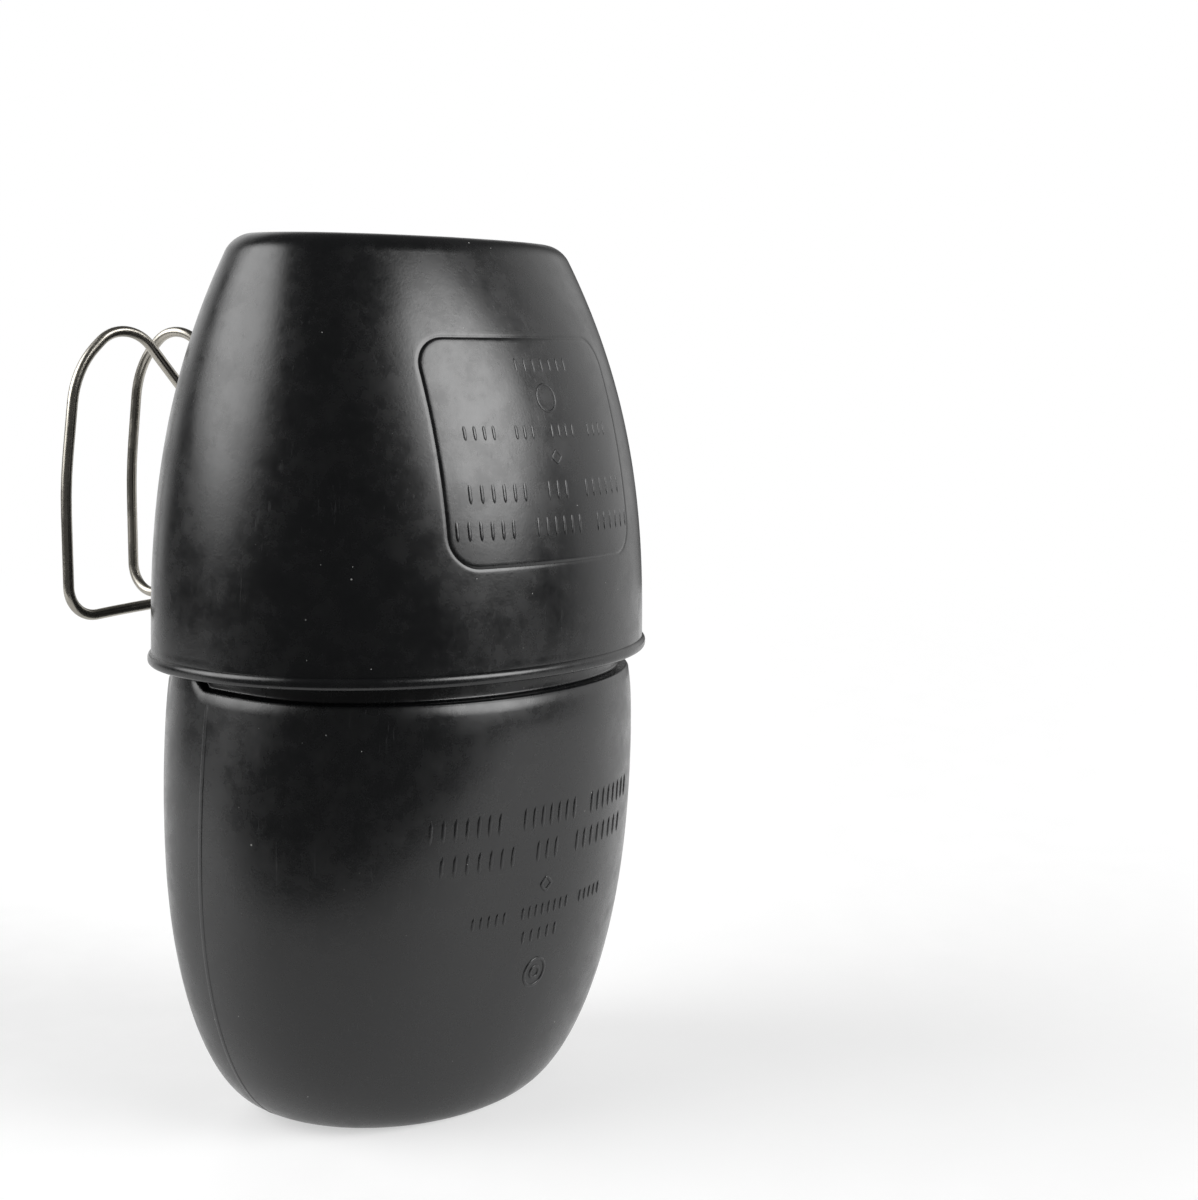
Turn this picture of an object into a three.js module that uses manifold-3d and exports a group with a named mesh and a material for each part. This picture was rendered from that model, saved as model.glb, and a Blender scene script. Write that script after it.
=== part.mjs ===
// Moulded oval water bottle standing on its base, with its drinking mug turned over the neck.
// Millimetres, +Z up. Origin: middle of the bottle's flat base. -Y is the front, +Y the back.
// The mug carries two wire handles that swing on a riveted steel bracket at the back.

import * as THREE from "three";
import { mergeVertices } from "three/addons/utils/BufferGeometryUtils.js";
import Module from "manifold-3d";

const wasm = await Module();
wasm.setup();

// ---- Clearances shared by all pieces ----
const seatGap = 0.3; // between faces that rest on each other
const pinGap = 0.25; // round a pin or rivet in its hole

// ---- Oval plan shared by bottle and mug ----
const ovalSegments = 44;
const frontRoundness = 2.1; // exponent of the front half of the oval
const backRoundness = 2.25; // exponent of the back half
const backShare = 0.84; // the back bulges less than the front

// ---- Bottle, lower body, up to the ledge below the mug ----
const ledgeHeight = 103.8;
const baseHalfWidth = 33;
const baseFront = 29.3;
const widestHalfWidth = 61.5;
const widestAtHeight = 63.6;
const deepestFront = 51.2;
const deepestAtHeight = 96;
const ledgeHalfWidth = 58.8;
const ledgeFront = 50.4;
const widthFullness = 2.07; // exponent of the rounding from base to widest point
const depthFullness = 1.6; // the same, front to back
const bottleWall = 2;
const bottleFloor = 2.4;

// ---- Bottle, upper body inside the mug ----
const ledgeEndStep = 2; // how far the upper body steps in from the ledge at its ends
const ledgeFrontStep = 3.1;
const upperBack = 38;
const upperRise = 19.2; // from the ledge up to the start of the shoulder
const stopSpan = 0.3; // radians of each end taken by a stop that the mug's lip rests on

// ---- Neck ----
const neckCentreY = -2;
const neckRadius = 15;
const neckWall = 2.6;
const neckBelowCap = 10.5; // from the shoulder up to the cap's skirt
const threadPitch = 4;
const threadDepth = 1.4;
const threadThickness = 1.6;
const threadBelowMouth = 6.7;
const threadSteps = 24; // steps in the single turn of thread

// ---- Cap, seal, strap and stud ----
const capThreadGap = 0.6; // between the neck's thread crest and the cap
const capWall = 2.5;
const capRibs = 20;
const ribDepth = 0.7;
const capTop = 2.4;
const sealThickness = 1.4;
const sealLand = 2.4; // how far the seal reaches in past the bore
const capSkirt = 15.2; // from the mouth down to the edge of the skirt
const strapThickness = 1.4;
const strapWidth = 9;
const strapRingWidth = 3;
const strapRingGap = 0.5; // round the neck
const strapRingLift = 1.6; // above the shoulder
const strapDiscMargin = 2.5; // round the stud's head
const strapBend = 2;
const studHeadRadius = 4;
const studHeadHeight = 1.2;
const studShankRadius = 1.8;
const studDepth = 1.1; // how far the shank reaches into the cap

// ---- Mug ----
const ledgeGap = 3.9; // shown between the bottle's ledge and the mug's rim
const mugDepth = 97.3;
const mugEndReach = 5; // how far the mug's rim stands out past the ledge at its ends
const mugFrontReach = 2; // the same at the front
const headroom = 10.1; // between the stud on the cap and the mug's end
const mugWall = 2;
const mugEndThickness = 2.6;
const mugEndFillet = 4;
const lipHeight = 3;
const lipProud = 0.8;
const lipFillet = 0.6;
const guideGap = 0.8; // between the lip's inner bead and the bottle's upper body
const guideTaper = 2.5; // height over which the bead thins to the plain wall
const mugEndWidthShare = 0.745; // width at the top of the wall as a share of the rim's
const mugEndDepthShare = 0.575; // the same for the front's depth
const mugWidthFullness = 2.65; // how late the wall turns in, seen from the front
const mugDepthFullness = 2.4; // the same seen from the side

// ---- Handle bracket on the mug's back ----
const wireRadius = 1.3;
const pivotSpacing = 14;
const barrelWall = 0.95;
const barrelLength = 17;
const bracketRise = 5.8; // from the mug's rim up to the bracket
const bracketLength = 35;
const bracketThickness = 1.1;
const bracketStripWidth = 9;
const padStand = 0.6; // how far the moulded pad stands out past the mug's rim
const padMargin = 2; // of the moulded pad round the bracket
const rivetEdge = 4; // from the bracket's ends to the outer rivets
const rivetShankRadius = 1.5;
const rivetHeadRadius = 3.2;
const rivetHeadHeight = 1.2;
const rivetTailRadius = 2.6;
const rivetTailHeight = 0.7;
const washerRadius = 4;
const washerThickness = 0.6;

// ---- Wire handles ----
const handleArc = 75; // plan radius that lets a folded handle follow the mug
const leftHandleAngle = 57; // degrees from straight back towards -X
const rightHandleAngle = 39.6;
const stubGap = 1.6; // between the two wire ends, which face each other in the barrel
const handleCorners = [
  // reach from the pivot, height from the middle of the bracket, bend radius
  [0, -13, 3],
  [48.5, -17.5, 7.5],
  [49, 15, 100],
  [45.5, 42.5, 22],
  [31, 56, 9],
  [0, 16, 4],
];

// ---- Heights and radii that follow: mug, then cap down from the mug's end, then neck ----
const rimHeight = ledgeHeight + ledgeGap;
const overallHeight = rimHeight + mugDepth;
const mugTopOfWall = overallHeight - mugEndFillet;
const studTop = overallHeight - mugEndThickness - headroom;
const strapTop = studTop - studHeadHeight - seatGap;
const capOuterTop = strapTop - strapThickness - seatGap;
const capInnerTop = capOuterTop - capTop;
const mouthHeight = capInnerTop - seatGap - sealThickness - seatGap;
const capBottom = mouthHeight - capSkirt;
const shoulderTop = capBottom - neckBelowCap;
const shoulderStart = ledgeHeight + upperRise;
const strapRingHeight = shoulderTop + strapRingLift;
const neckThreadStart = mouthHeight - threadBelowMouth;
const boreRadius = neckRadius - neckWall;
const sealBore = boreRadius - sealLand;
const capThreadRoot = neckRadius + threadDepth + capThreadGap;
const capRadius = capThreadRoot + capWall;
const strapRingInner = neckRadius + strapRingGap;
const strapRingRadius = strapRingInner + strapRingWidth;
const strapInnerX = capRadius + ribDepth + 1.2;

// ---- Widths that follow ----
const upperHalfWidth = ledgeHalfWidth - ledgeEndStep;
const upperFront = ledgeFront - ledgeFrontStep;
const mugRimHalfWidth = ledgeHalfWidth + mugEndReach;
const mugRimFront = ledgeFront + mugFrontReach;

// ---- Bracket places that follow ----
const bracketBottom = rimHeight + bracketRise;
const bracketTop = bracketBottom + bracketLength;
const bracketMiddle = (bracketBottom + bracketTop) / 2;
const barrelBottom = bracketMiddle - barrelLength / 2;
const barrelTop = bracketMiddle + barrelLength / 2;
const rivetHeights = [bracketBottom + rivetEdge, bracketMiddle, bracketTop - rivetEdge];
const barrelRadius = wireRadius + pinGap + barrelWall;
const padFaceY = mugRimFront * backShare + padStand;
const bracketBackY = padFaceY + seatGap;
const bracketFaceY = bracketBackY + bracketThickness;
const pivotY = bracketBackY + barrelRadius;
const holeRadius = rivetShankRadius + pinGap;

// ---- Finishes ----
function finish(color, roughness, metalness) {
  return new THREE.MeshStandardMaterial({ color, roughness, metalness });
}
const bottleBlack = finish(0x1d1f20, 0.42, 0);
const mugBlack = finish(0x1b1c1e, 0.36, 0);
const capBlack = finish(0x17181a, 0.5, 0);
const strapBlack = finish(0x1f1f20, 0.6, 0);
const sealGrey = finish(0x6f6d68, 0.7, 0);
const bareSteel = finish(0x8d8c86, 0.3, 1);

// ---- Mesh helpers ----
// Closed surface over rings of equal point count, finished with a point at each end.
function loft(rings, firstPole, lastPole) {
  const count = rings[0].length;
  const positions = [];
  rings.flat().forEach((point) => positions.push(point.x, point.y, point.z));
  const first = rings.length * count;
  const last = first + 1;
  positions.push(firstPole.x, firstPole.y, firstPole.z, lastPole.x, lastPole.y, lastPole.z);
  const faces = [];
  for (let side = 0; side < count; side += 1) {
    const next = (side + 1) % count;
    faces.push(first, next, side);
    for (let row = 0; row + 1 < rings.length; row += 1) {
      const lower = row * count;
      const upper = lower + count;
      faces.push(lower + side, lower + next, upper + next);
      faces.push(lower + side, upper + next, upper + side);
    }
    const top = (rings.length - 1) * count;
    faces.push(top + side, top + next, last);
  }
  const geometry = new THREE.BufferGeometry();
  geometry.setAttribute("position", new THREE.Float32BufferAttribute(positions, 3));
  geometry.setIndex(faces);
  geometry.computeVertexNormals();
  return geometry;
}

function toSolid(geometry) {
  const bare = geometry.clone();
  bare.deleteAttribute("normal");
  bare.deleteAttribute("uv");
  const merged = mergeVertices(bare, 1e-4);
  return new wasm.Manifold(
    new wasm.Mesh({
      numProp: 3,
      vertProperties: new Float32Array(merged.attributes.position.array),
      triVerts: new Uint32Array(merged.index.array),
    }),
  );
}

function toGeometry(solid) {
  const mesh = solid.getMesh();
  const geometry = new THREE.BufferGeometry();
  geometry.setAttribute("position", new THREE.Float32BufferAttribute(mesh.vertProperties, 3));
  geometry.setIndex(Array.from(mesh.triVerts));
  geometry.computeVertexNormals();
  return geometry;
}

function extrudeUp(shape, bottom, top, curveSegments = 16) {
  const geometry = new THREE.ExtrudeGeometry(shape, {
    depth: top - bottom,
    bevelEnabled: false,
    curveSegments,
  });
  return geometry.translate(0, 0, bottom);
}

function ringShape(outerRadius, innerRadius) {
  const shape = new THREE.Shape();
  shape.absarc(0, 0, outerRadius, 0, Math.PI * 2, false);
  const hole = new THREE.Path();
  hole.absarc(0, 0, innerRadius, 0, Math.PI * 2, true);
  shape.holes.push(hole);
  return shape;
}

function turned(profile, segments) {
  const points = profile.map(([radius, height]) => new THREE.Vector2(radius, height));
  return new THREE.LatheGeometry(points, segments).rotateX(Math.PI / 2);
}

// ---- Oval rings ----
function ovalRing(section, lift = 0) {
  const ring = [];
  for (let side = 0; side < ovalSegments; side += 1) {
    const angle = (side / ovalSegments) * Math.PI * 2;
    const across = Math.cos(angle);
    const along = Math.sin(angle);
    const isFront = along < 0;
    const frontPower = section.frontPower ?? frontRoundness;
    const backPower = section.backPower ?? backRoundness;
    const power = 2 / (isFront ? frontPower : backPower);
    const depth = isFront ? section.front : section.back;
    const x = section.half * Math.sign(across) * Math.abs(across) ** power;
    const y = depth * Math.sign(along) * Math.abs(along) ** power;
    const nearEnd = along > -1e-9 && Math.min(angle, Math.abs(Math.PI - angle)) < stopSpan;
    ring.push(new THREE.Vector3(x, section.centreY + y, section.z + (nearEnd ? lift : 0)));
  }
  return ring;
}

function inset(section, amount) {
  return {
    ...section,
    half: section.half - amount,
    front: section.front - amount,
    back: section.back - amount,
  };
}

function circleSection(z, radius) {
  const round = { frontPower: 2, backPower: 2, centreY: neckCentreY };
  return { z, half: radius, front: radius, back: radius, ...round };
}

// ---- Bottle sections ----
function swell(z, base, widest, widestHeight, atLedge, fullness) {
  if (z <= widestHeight) {
    const below = 1 - z / widestHeight;
    return base + (widest - base) * (1 - below ** fullness) ** (1 / fullness);
  }
  const above = (z - widestHeight) / (ledgeHeight - widestHeight);
  return widest - (widest - atLedge) * above ** 2;
}

function bodySection(z, shapeHeight = z) {
  const width = [baseHalfWidth, widestHalfWidth, widestAtHeight, ledgeHalfWidth, widthFullness];
  const depth = [baseFront, deepestFront, deepestAtHeight, ledgeFront, depthFullness];
  const half = swell(shapeHeight, ...width);
  const front = swell(shapeHeight, ...depth);
  return { z, half, front, back: front * backShare, centreY: 0 };
}

function cavitySection(z) {
  const shapeHeight = ((z - bottleFloor) * ledgeHeight) / (ledgeHeight - bottleFloor);
  return inset(bodySection(z, Math.min(shapeHeight, ledgeHeight)), bottleWall);
}

function upperSection(z) {
  return { z, half: upperHalfWidth, front: upperFront, back: upperBack, centreY: 0 };
}

// Quarter-round dome from the upper wall in to the neck.
function shoulderSection(turn, low, high, neck, wall) {
  const out = Math.cos(turn);
  const blend = (wide) => neck + (wide - wall - neck) * out;
  const power = (roundness) => 2 + (roundness - 2) * out;
  return {
    z: low + (high - low) * Math.sin(turn),
    half: blend(upperHalfWidth),
    front: blend(upperFront),
    back: blend(upperBack),
    centreY: neckCentreY * (1 - out),
    frontPower: power(frontRoundness),
    backPower: power(backRoundness),
  };
}

function shoulderRings(low, high, neck, wall, steps) {
  const rings = [];
  for (let step = 0; step <= steps; step += 1) {
    rings.push(ovalRing(shoulderSection((step / steps) * (Math.PI / 2), low, high, neck, wall)));
  }
  return rings;
}

function bodyHeights(bottom, top, steps) {
  const heights = [];
  for (let step = 0; step <= steps; step += 1) {
    heights.push(bottom + (top - bottom) * (step / steps) ** 1.9);
  }
  return heights;
}

// One turn of thread: a ridge with a sloping flank on each side.
function threadRidge(rootRadius, crestRadius, start) {
  const rings = [];
  const halfRoot = threadThickness / 2;
  const halfCrest = threadThickness / 4;
  for (let step = 0; step <= threadSteps; step += 1) {
    const angle = (step / threadSteps) * Math.PI * 2;
    const middle = start + (step / threadSteps) * threadPitch;
    const corners = [
      [rootRadius, middle - halfRoot],
      [rootRadius, middle + halfRoot],
      [crestRadius, middle + halfCrest],
      [crestRadius, middle - halfCrest],
    ];
    if (crestRadius < rootRadius) {
      corners.reverse();
    }
    rings.push(
      corners.map(
        ([radius, z]) =>
          new THREE.Vector3(radius * Math.cos(angle), neckCentreY + radius * Math.sin(angle), z),
      ),
    );
  }
  const middleOf = (ring) =>
    ring.reduce((sum, point) => sum.add(point), new THREE.Vector3()).divideScalar(ring.length);
  return loft(rings, middleOf(rings[0]), middleOf(rings[rings.length - 1]));
}

function bottleBody() {
  const stopHeight = rimHeight - seatGap - ledgeHeight;
  const outside = bodyHeights(0, ledgeHeight, 12).map((z) => bodySection(z));
  const ledge = outside.pop();
  const innerShoulderLow = shoulderStart - bottleWall;
  const inside = bodyHeights(bottleFloor, ledgeHeight - bottleFloor, 10).map((z) => cavitySection(z));
  const rings = [
    ...outside.map((section) => ovalRing(section)),
    ovalRing(ledge, stopHeight),
    ovalRing(upperSection(ledgeHeight), stopHeight),
    ovalRing(upperSection(rimHeight + lipHeight)),
    ...shoulderRings(shoulderStart, shoulderTop, neckRadius, 0, 7),
    ovalRing(circleSection(mouthHeight - 0.5, neckRadius)),
    ovalRing(circleSection(mouthHeight, neckRadius - 0.5)),
    ovalRing(circleSection(mouthHeight, boreRadius)),
    ...shoulderRings(innerShoulderLow, shoulderTop - bottleWall, boreRadius, bottleWall, 6).reverse(),
    ovalRing(inset(upperSection(ledgeHeight - bottleWall), bottleWall)),
    ...inside.reverse().map((section) => ovalRing(section)),
  ];
  const shell = loft(rings, new THREE.Vector3(0, 0, 0), new THREE.Vector3(0, 0, bottleFloor));
  const ridge = threadRidge(neckRadius - 1.2, neckRadius + threadDepth, neckThreadStart);
  return toGeometry(toSolid(shell).add(toSolid(ridge)));
}

// ---- Cap, seal, strap and stud ----
function capRing(radius, z, ribbed = false) {
  const points = capRibs * 3;
  const ring = [];
  for (let side = 0; side < points; side += 1) {
    const angle = (side / points) * Math.PI * 2;
    const reach = radius + (ribbed && side % 3 === 0 ? ribDepth : 0);
    ring.push(new THREE.Vector3(reach * Math.cos(angle), neckCentreY + reach * Math.sin(angle), z));
  }
  return ring;
}

function screwCap() {
  const socket = studShankRadius + pinGap;
  const socketFloor = capOuterTop - studDepth - seatGap;
  const rings = [
    capRing(capThreadRoot, capInnerTop),
    capRing(capThreadRoot, capBottom),
    capRing(capRadius, capBottom),
    capRing(capRadius, capBottom + 1.6),
    capRing(capRadius, capBottom + 2, true),
    capRing(capRadius, capOuterTop - 2.4, true),
    capRing(capRadius, capOuterTop - 1.6),
    capRing(capRadius - 1.6, capOuterTop),
    capRing(socket, capOuterTop),
    capRing(socket, socketFloor),
  ];
  const centre = (z) => new THREE.Vector3(0, neckCentreY, z);
  const shell = loft(rings, centre(capInnerTop), centre(socketFloor));
  const start = neckThreadStart - threadPitch / 2;
  const ridge = threadRidge(capThreadRoot + 0.8, neckRadius + 0.6, start);
  return toGeometry(toSolid(shell).add(toSolid(ridge)));
}

function capSeal() {
  const bottom = mouthHeight + seatGap;
  const radius = capThreadRoot - 0.5;
  const profile = [
    [sealBore, bottom],
    [radius, bottom],
    [radius, bottom + sealThickness],
    [sealBore, bottom + sealThickness],
    [sealBore, bottom],
  ];
  return turned(profile, 32).translate(0, neckCentreY, 0);
}

// Side outline of the band: out of the ring, up beside the cap and in over its top.
function strapBand() {
  const outerX = strapInnerX + strapThickness;
  const low = strapRingHeight;
  const start = strapRingRadius - 1;
  const innerBend = strapBend - strapThickness;
  const shape = new THREE.Shape();
  shape.moveTo(start, low);
  shape.lineTo(outerX - strapBend, low);
  shape.absarc(outerX - strapBend, low + strapBend, strapBend, -Math.PI / 2, 0, false);
  shape.absarc(outerX - strapBend, strapTop - strapBend, strapBend, 0, Math.PI / 2, false);
  shape.lineTo(0, strapTop);
  shape.lineTo(0, strapTop - strapThickness);
  shape.absarc(outerX - strapBend, strapTop - strapBend, innerBend, Math.PI / 2, 0, true);
  shape.absarc(outerX - strapBend, low + strapBend, innerBend, 0, -Math.PI / 2, true);
  shape.lineTo(start, low + strapThickness);
  shape.closePath();
  const band = new THREE.ExtrudeGeometry(shape, {
    depth: strapWidth,
    bevelEnabled: false,
    curveSegments: 4,
  });
  return band.rotateX(Math.PI / 2).translate(0, strapWidth / 2, 0);
}

function capStrap() {
  const ring = extrudeUp(
    ringShape(strapRingRadius, strapRingInner),
    strapRingHeight,
    strapRingHeight + strapThickness,
    18,
  );
  const discRadius = studHeadRadius + strapDiscMargin;
  const disc = new THREE.CylinderGeometry(discRadius, discRadius, strapThickness, 28);
  disc.rotateX(Math.PI / 2);
  disc.translate(0, 0, strapTop - strapThickness / 2);
  const eye = new THREE.CylinderGeometry(1, 1, strapThickness * 3, 20).rotateX(Math.PI / 2);
  eye.scale(studShankRadius + pinGap, studShankRadius + pinGap, 1).translate(0, 0, strapTop);
  const solid = toSolid(ring).add(toSolid(strapBand())).add(toSolid(disc)).subtract(toSolid(eye));
  return toGeometry(solid).translate(0, neckCentreY, 0);
}

function strapStud() {
  const headBottom = strapTop + seatGap;
  const profile = [
    [0, capOuterTop - studDepth],
    [studShankRadius, capOuterTop - studDepth],
    [studShankRadius, headBottom],
    [studHeadRadius, headBottom],
    [studHeadRadius, headBottom + studHeadHeight / 2],
    [studHeadRadius - 1, headBottom + studHeadHeight],
    [0, headBottom + studHeadHeight],
  ];
  return turned(profile, 20).translate(0, neckCentreY, 0);
}

// ---- Mug ----
const wallHeight = mugTopOfWall - rimHeight;

function mugSection(z) {
  const share = Math.max((z - rimHeight) / wallHeight, 0);
  const half = mugRimHalfWidth * (1 - (1 - mugEndWidthShare) * share ** mugWidthFullness);
  const front = mugRimFront * (1 - (1 - mugEndDepthShare) * share ** mugDepthFullness);
  return { z, half, front, back: front * backShare, centreY: 0 };
}

// Inner face of the wall: set in along the wall's own slope.
function mugInside(z) {
  const step = 0.5;
  const here = mugSection(z);
  const upper = mugSection(Math.min(z + step, overallHeight - mugEndFillet));
  const lower = mugSection(upper.z - step);
  const slope = (key) => (lower[key] - upper[key]) / step;
  const thickness = (key) => mugWall * Math.hypot(1, slope(key));
  return {
    ...here,
    half: here.half - thickness("half"),
    front: here.front - thickness("front"),
    back: here.back - thickness("back"),
  };
}

// Inner bead of the lip: it slides on the bottle's upper body and rests on the two stops.
function guideSection(z) {
  return inset(upperSection(z), -guideGap);
}

const guideTop = rimHeight + lipHeight;
const wallStart = guideTop + guideTaper;

function mugInnerRings(bottom) {
  const ceiling = overallHeight - mugEndThickness;
  const steps = 8;
  const rings = [
    ovalRing({ ...inset(mugInside(mugTopOfWall), 3.4), z: ceiling }),
    ovalRing({ ...inset(mugInside(mugTopOfWall), 1.2), z: ceiling - 0.8 }),
  ];
  for (let step = 0; step <= steps; step += 1) {
    const z = mugTopOfWall - 1 + (wallStart - mugTopOfWall + 1) * (step / steps);
    rings.push(ovalRing(mugInside(z)));
  }
  rings.push(ovalRing(guideSection(guideTop)));
  rings.push(ovalRing(guideSection(bottom)));
  return rings;
}

function mugShell() {
  const rim = mugSection(rimHeight);
  const lipTop = guideTop;
  const rings = [
    ...mugInnerRings(rimHeight),
    ovalRing(inset(rim, -lipProud + lipFillet)),
    ovalRing(inset({ ...rim, z: rimHeight + lipFillet }, -lipProud)),
    ovalRing(inset(mugSection(lipTop - lipFillet), -lipProud)),
    ovalRing(mugSection(lipTop)),
  ];
  const wallSteps = 8;
  for (let step = 1; step <= wallSteps; step += 1) {
    rings.push(ovalRing(mugSection(lipTop + (mugTopOfWall - lipTop) * (step / wallSteps))));
  }
  for (const turn of [30, 60, 90]) {
    const angle = THREE.MathUtils.degToRad(turn);
    const drop = mugEndFillet * (1 - Math.cos(angle)) + 0.25 * mugEndFillet * Math.sin(angle);
    const section = inset(mugSection(mugTopOfWall), drop);
    rings.push(ovalRing({ ...section, z: mugTopOfWall + mugEndFillet * Math.sin(angle) }));
  }
  const centre = (z) => new THREE.Vector3(0, 0, z);
  return loft(rings, centre(overallHeight - mugEndThickness), centre(overallHeight));
}

function rivetHole(z) {
  const cutter = new THREE.CylinderGeometry(holeRadius, holeRadius, padFaceY, 16);
  return toSolid(cutter.translate(0, padFaceY, z));
}

function roundedPlate(width, bottom, top, corner) {
  const shape = new THREE.Shape();
  const half = width / 2;
  shape.moveTo(half - corner, bottom);
  shape.absarc(half - corner, bottom + corner, corner, -Math.PI / 2, 0, false);
  shape.absarc(half - corner, top - corner, corner, 0, Math.PI / 2, false);
  shape.absarc(corner - half, top - corner, corner, Math.PI / 2, Math.PI, false);
  shape.absarc(corner - half, bottom + corner, corner, Math.PI, Math.PI * 1.5, false);
  shape.closePath();
  return shape;
}

// A plate standing in the XZ plane between two depths.
function standingPlate(shape, fromY, toY) {
  const plate = new THREE.ExtrudeGeometry(shape, {
    depth: toY - fromY,
    bevelEnabled: false,
    curveSegments: 4,
  });
  return plate.rotateX(Math.PI / 2).translate(0, toY, 0);
}

function mugBody() {
  const padWidth = pivotSpacing + 2 * barrelRadius + 2 * padMargin;
  const padShape = roundedPlate(padWidth, bracketBottom - padMargin, bracketTop + padMargin, 5);
  const belowRim = rimHeight - 1;
  const cavityTop = new THREE.Vector3(0, 0, overallHeight - mugEndThickness);
  const cavityRings = mugInnerRings(belowRim).reverse();
  const cavity = loft(cavityRings, new THREE.Vector3(0, 0, belowRim), cavityTop);
  const pad = toSolid(standingPlate(padShape, 0, padFaceY)).subtract(toSolid(cavity));
  let solid = toSolid(mugShell()).add(pad);
  rivetHeights.forEach((z) => {
    solid = solid.subtract(rivetHole(z));
  });
  return toGeometry(solid);
}

// ---- Bracket, rivets and washers ----
function handleBracket() {
  const strip = roundedPlate(bracketStripWidth, bracketBottom, bracketTop, 3);
  const leaf = roundedPlate(pivotSpacing, barrelBottom, barrelTop, 0.4);
  const bore = wireRadius + pinGap;
  let solid = toSolid(standingPlate(strip, bracketBackY, bracketFaceY));
  solid = solid.add(toSolid(standingPlate(leaf, bracketBackY, bracketFaceY)));
  for (const side of [-1, 1]) {
    const place = (geometry) => toSolid(geometry.translate((side * pivotSpacing) / 2, pivotY, 0));
    const barrel = new THREE.Shape().absarc(0, 0, barrelRadius, 0, Math.PI * 2, false);
    const hollow = new THREE.Shape().absarc(0, 0, bore, 0, Math.PI * 2, false);
    solid = solid.add(place(extrudeUp(barrel, barrelBottom, barrelTop, 20)));
    solid = solid.subtract(place(extrudeUp(hollow, barrelBottom - 1, barrelTop + 1, 16)));
  }
  rivetHeights.forEach((z) => {
    solid = solid.subtract(rivetHole(z));
  });
  return toGeometry(solid);
}

// Flat seat inside the mug, clear of the wall and the bead over the whole washer.
function washerSeatY(z) {
  const wallBack = (height) => {
    const share = THREE.MathUtils.clamp((wallStart - height) / guideTaper, 0, 1);
    return THREE.MathUtils.lerp(mugInside(height).back, guideSection(height).back, share);
  };
  return Math.min(wallBack(z - washerRadius), wallBack(z + washerRadius)) - seatGap;
}

// Turned about its own axis, then laid along +Y.
function alongY(profile, segments, z) {
  return turned(profile, segments).rotateX(-Math.PI / 2).translate(0, 0, z);
}

function bracketRivet(z) {
  const tailInner = washerSeatY(z) - washerThickness - seatGap / 2;
  const headBack = bracketFaceY + seatGap / 2;
  const profile = [
    [0, tailInner - rivetTailHeight],
    [rivetTailRadius, tailInner - rivetTailHeight],
    [rivetTailRadius, tailInner],
    [rivetShankRadius, tailInner],
    [rivetShankRadius, headBack],
    [rivetHeadRadius, headBack],
    [rivetHeadRadius * 0.75, headBack + rivetHeadHeight * 0.75],
    [0, headBack + rivetHeadHeight],
  ];
  return alongY(profile, 14, z);
}

function rivetWasher(z) {
  const inner = washerSeatY(z) - washerThickness;
  const profile = [
    [holeRadius, inner],
    [washerRadius, inner],
    [washerRadius, inner + washerThickness],
    [holeRadius, inner + washerThickness],
    [holeRadius, inner],
  ];
  return alongY(profile, 16, z);
}

// ---- Wire handles ----
// A path that keeps the spacing of its own points, so bends stay finely stepped.
class WireRoute extends THREE.Curve {
  constructor(points) {
    super();
    this.points = points;
  }

  getPoint(share, target = new THREE.Vector3()) {
    const place = share * (this.points.length - 1);
    const index = Math.min(Math.floor(place), this.points.length - 2);
    return target.lerpVectors(this.points[index], this.points[index + 1], place - index);
  }

  getUtoTmapping(share) {
    return share;
  }
}

// Points round one bend between two straight runs.
function bendPoints(before, corner, after, radius) {
  const toBefore = before.clone().sub(corner).normalize();
  const toAfter = after.clone().sub(corner).normalize();
  const halfAngle = Math.acos(toBefore.dot(toAfter)) / 2;
  const tangent = radius / Math.tan(halfAngle);
  const middle = toBefore.clone().add(toAfter).normalize();
  const centre = corner.clone().addScaledVector(middle, radius / Math.sin(halfAngle));
  const start = corner.clone().addScaledVector(toBefore, tangent).sub(centre);
  const finish = corner.clone().addScaledVector(toAfter, tangent).sub(centre);
  const sweep = Math.PI - 2 * halfAngle;
  const turn = Math.sign(start.cross(finish)) * sweep;
  const steps = Math.max(2, Math.ceil(sweep / 0.32));
  const points = [];
  for (let step = 0; step <= steps; step += 1) {
    const angle = (turn * step) / steps;
    points.push(start.clone().rotateAround(new THREE.Vector2(), angle).add(centre));
  }
  return points;
}

// Straight back along +Y, bowed towards the handle's own side of the mug.
function bowed(point, side) {
  const angle = point.x / handleArc;
  const aside = handleArc * (1 - Math.cos(angle));
  return new THREE.Vector3(side * aside, handleArc * Math.sin(angle), point.y);
}

function wireHandle(side) {
  const at = (reach, height) => new THREE.Vector2(reach, bracketMiddle + height);
  const corners = handleCorners.map(([reach, height]) => at(reach, height));
  const lowerEnd = at(0, -stubGap / 2);
  const upperEnd = at(0, stubGap / 2);
  const stops = [lowerEnd, ...corners, upperEnd];
  const route = [lowerEnd];
  handleCorners.forEach(([, , radius], index) => {
    const bend = bendPoints(stops[index], stops[index + 1], stops[index + 2], radius);
    const from = route[route.length - 1];
    const run = from.distanceTo(bend[0]);
    const extra = Math.floor(run / 12);
    for (let step = 1; step <= extra; step += 1) {
      route.push(from.clone().lerp(bend[0], step / (extra + 1)));
    }
    route.push(...bend);
  });
  route.push(upperEnd);
  const path = new WireRoute(route.map((point) => bowed(point, side)));
  const section = new THREE.Shape().absarc(0, 0, wireRadius, 0, Math.PI * 2, false);
  return new THREE.ExtrudeGeometry(section, {
    steps: route.length - 1,
    extrudePath: path,
    curveSegments: 8,
    bevelEnabled: false,
  });
}

// ---- Assembly ----
function piece(name, geometry, material) {
  const mesh = new THREE.Mesh(geometry, material);
  mesh.name = name;
  return mesh;
}

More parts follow.
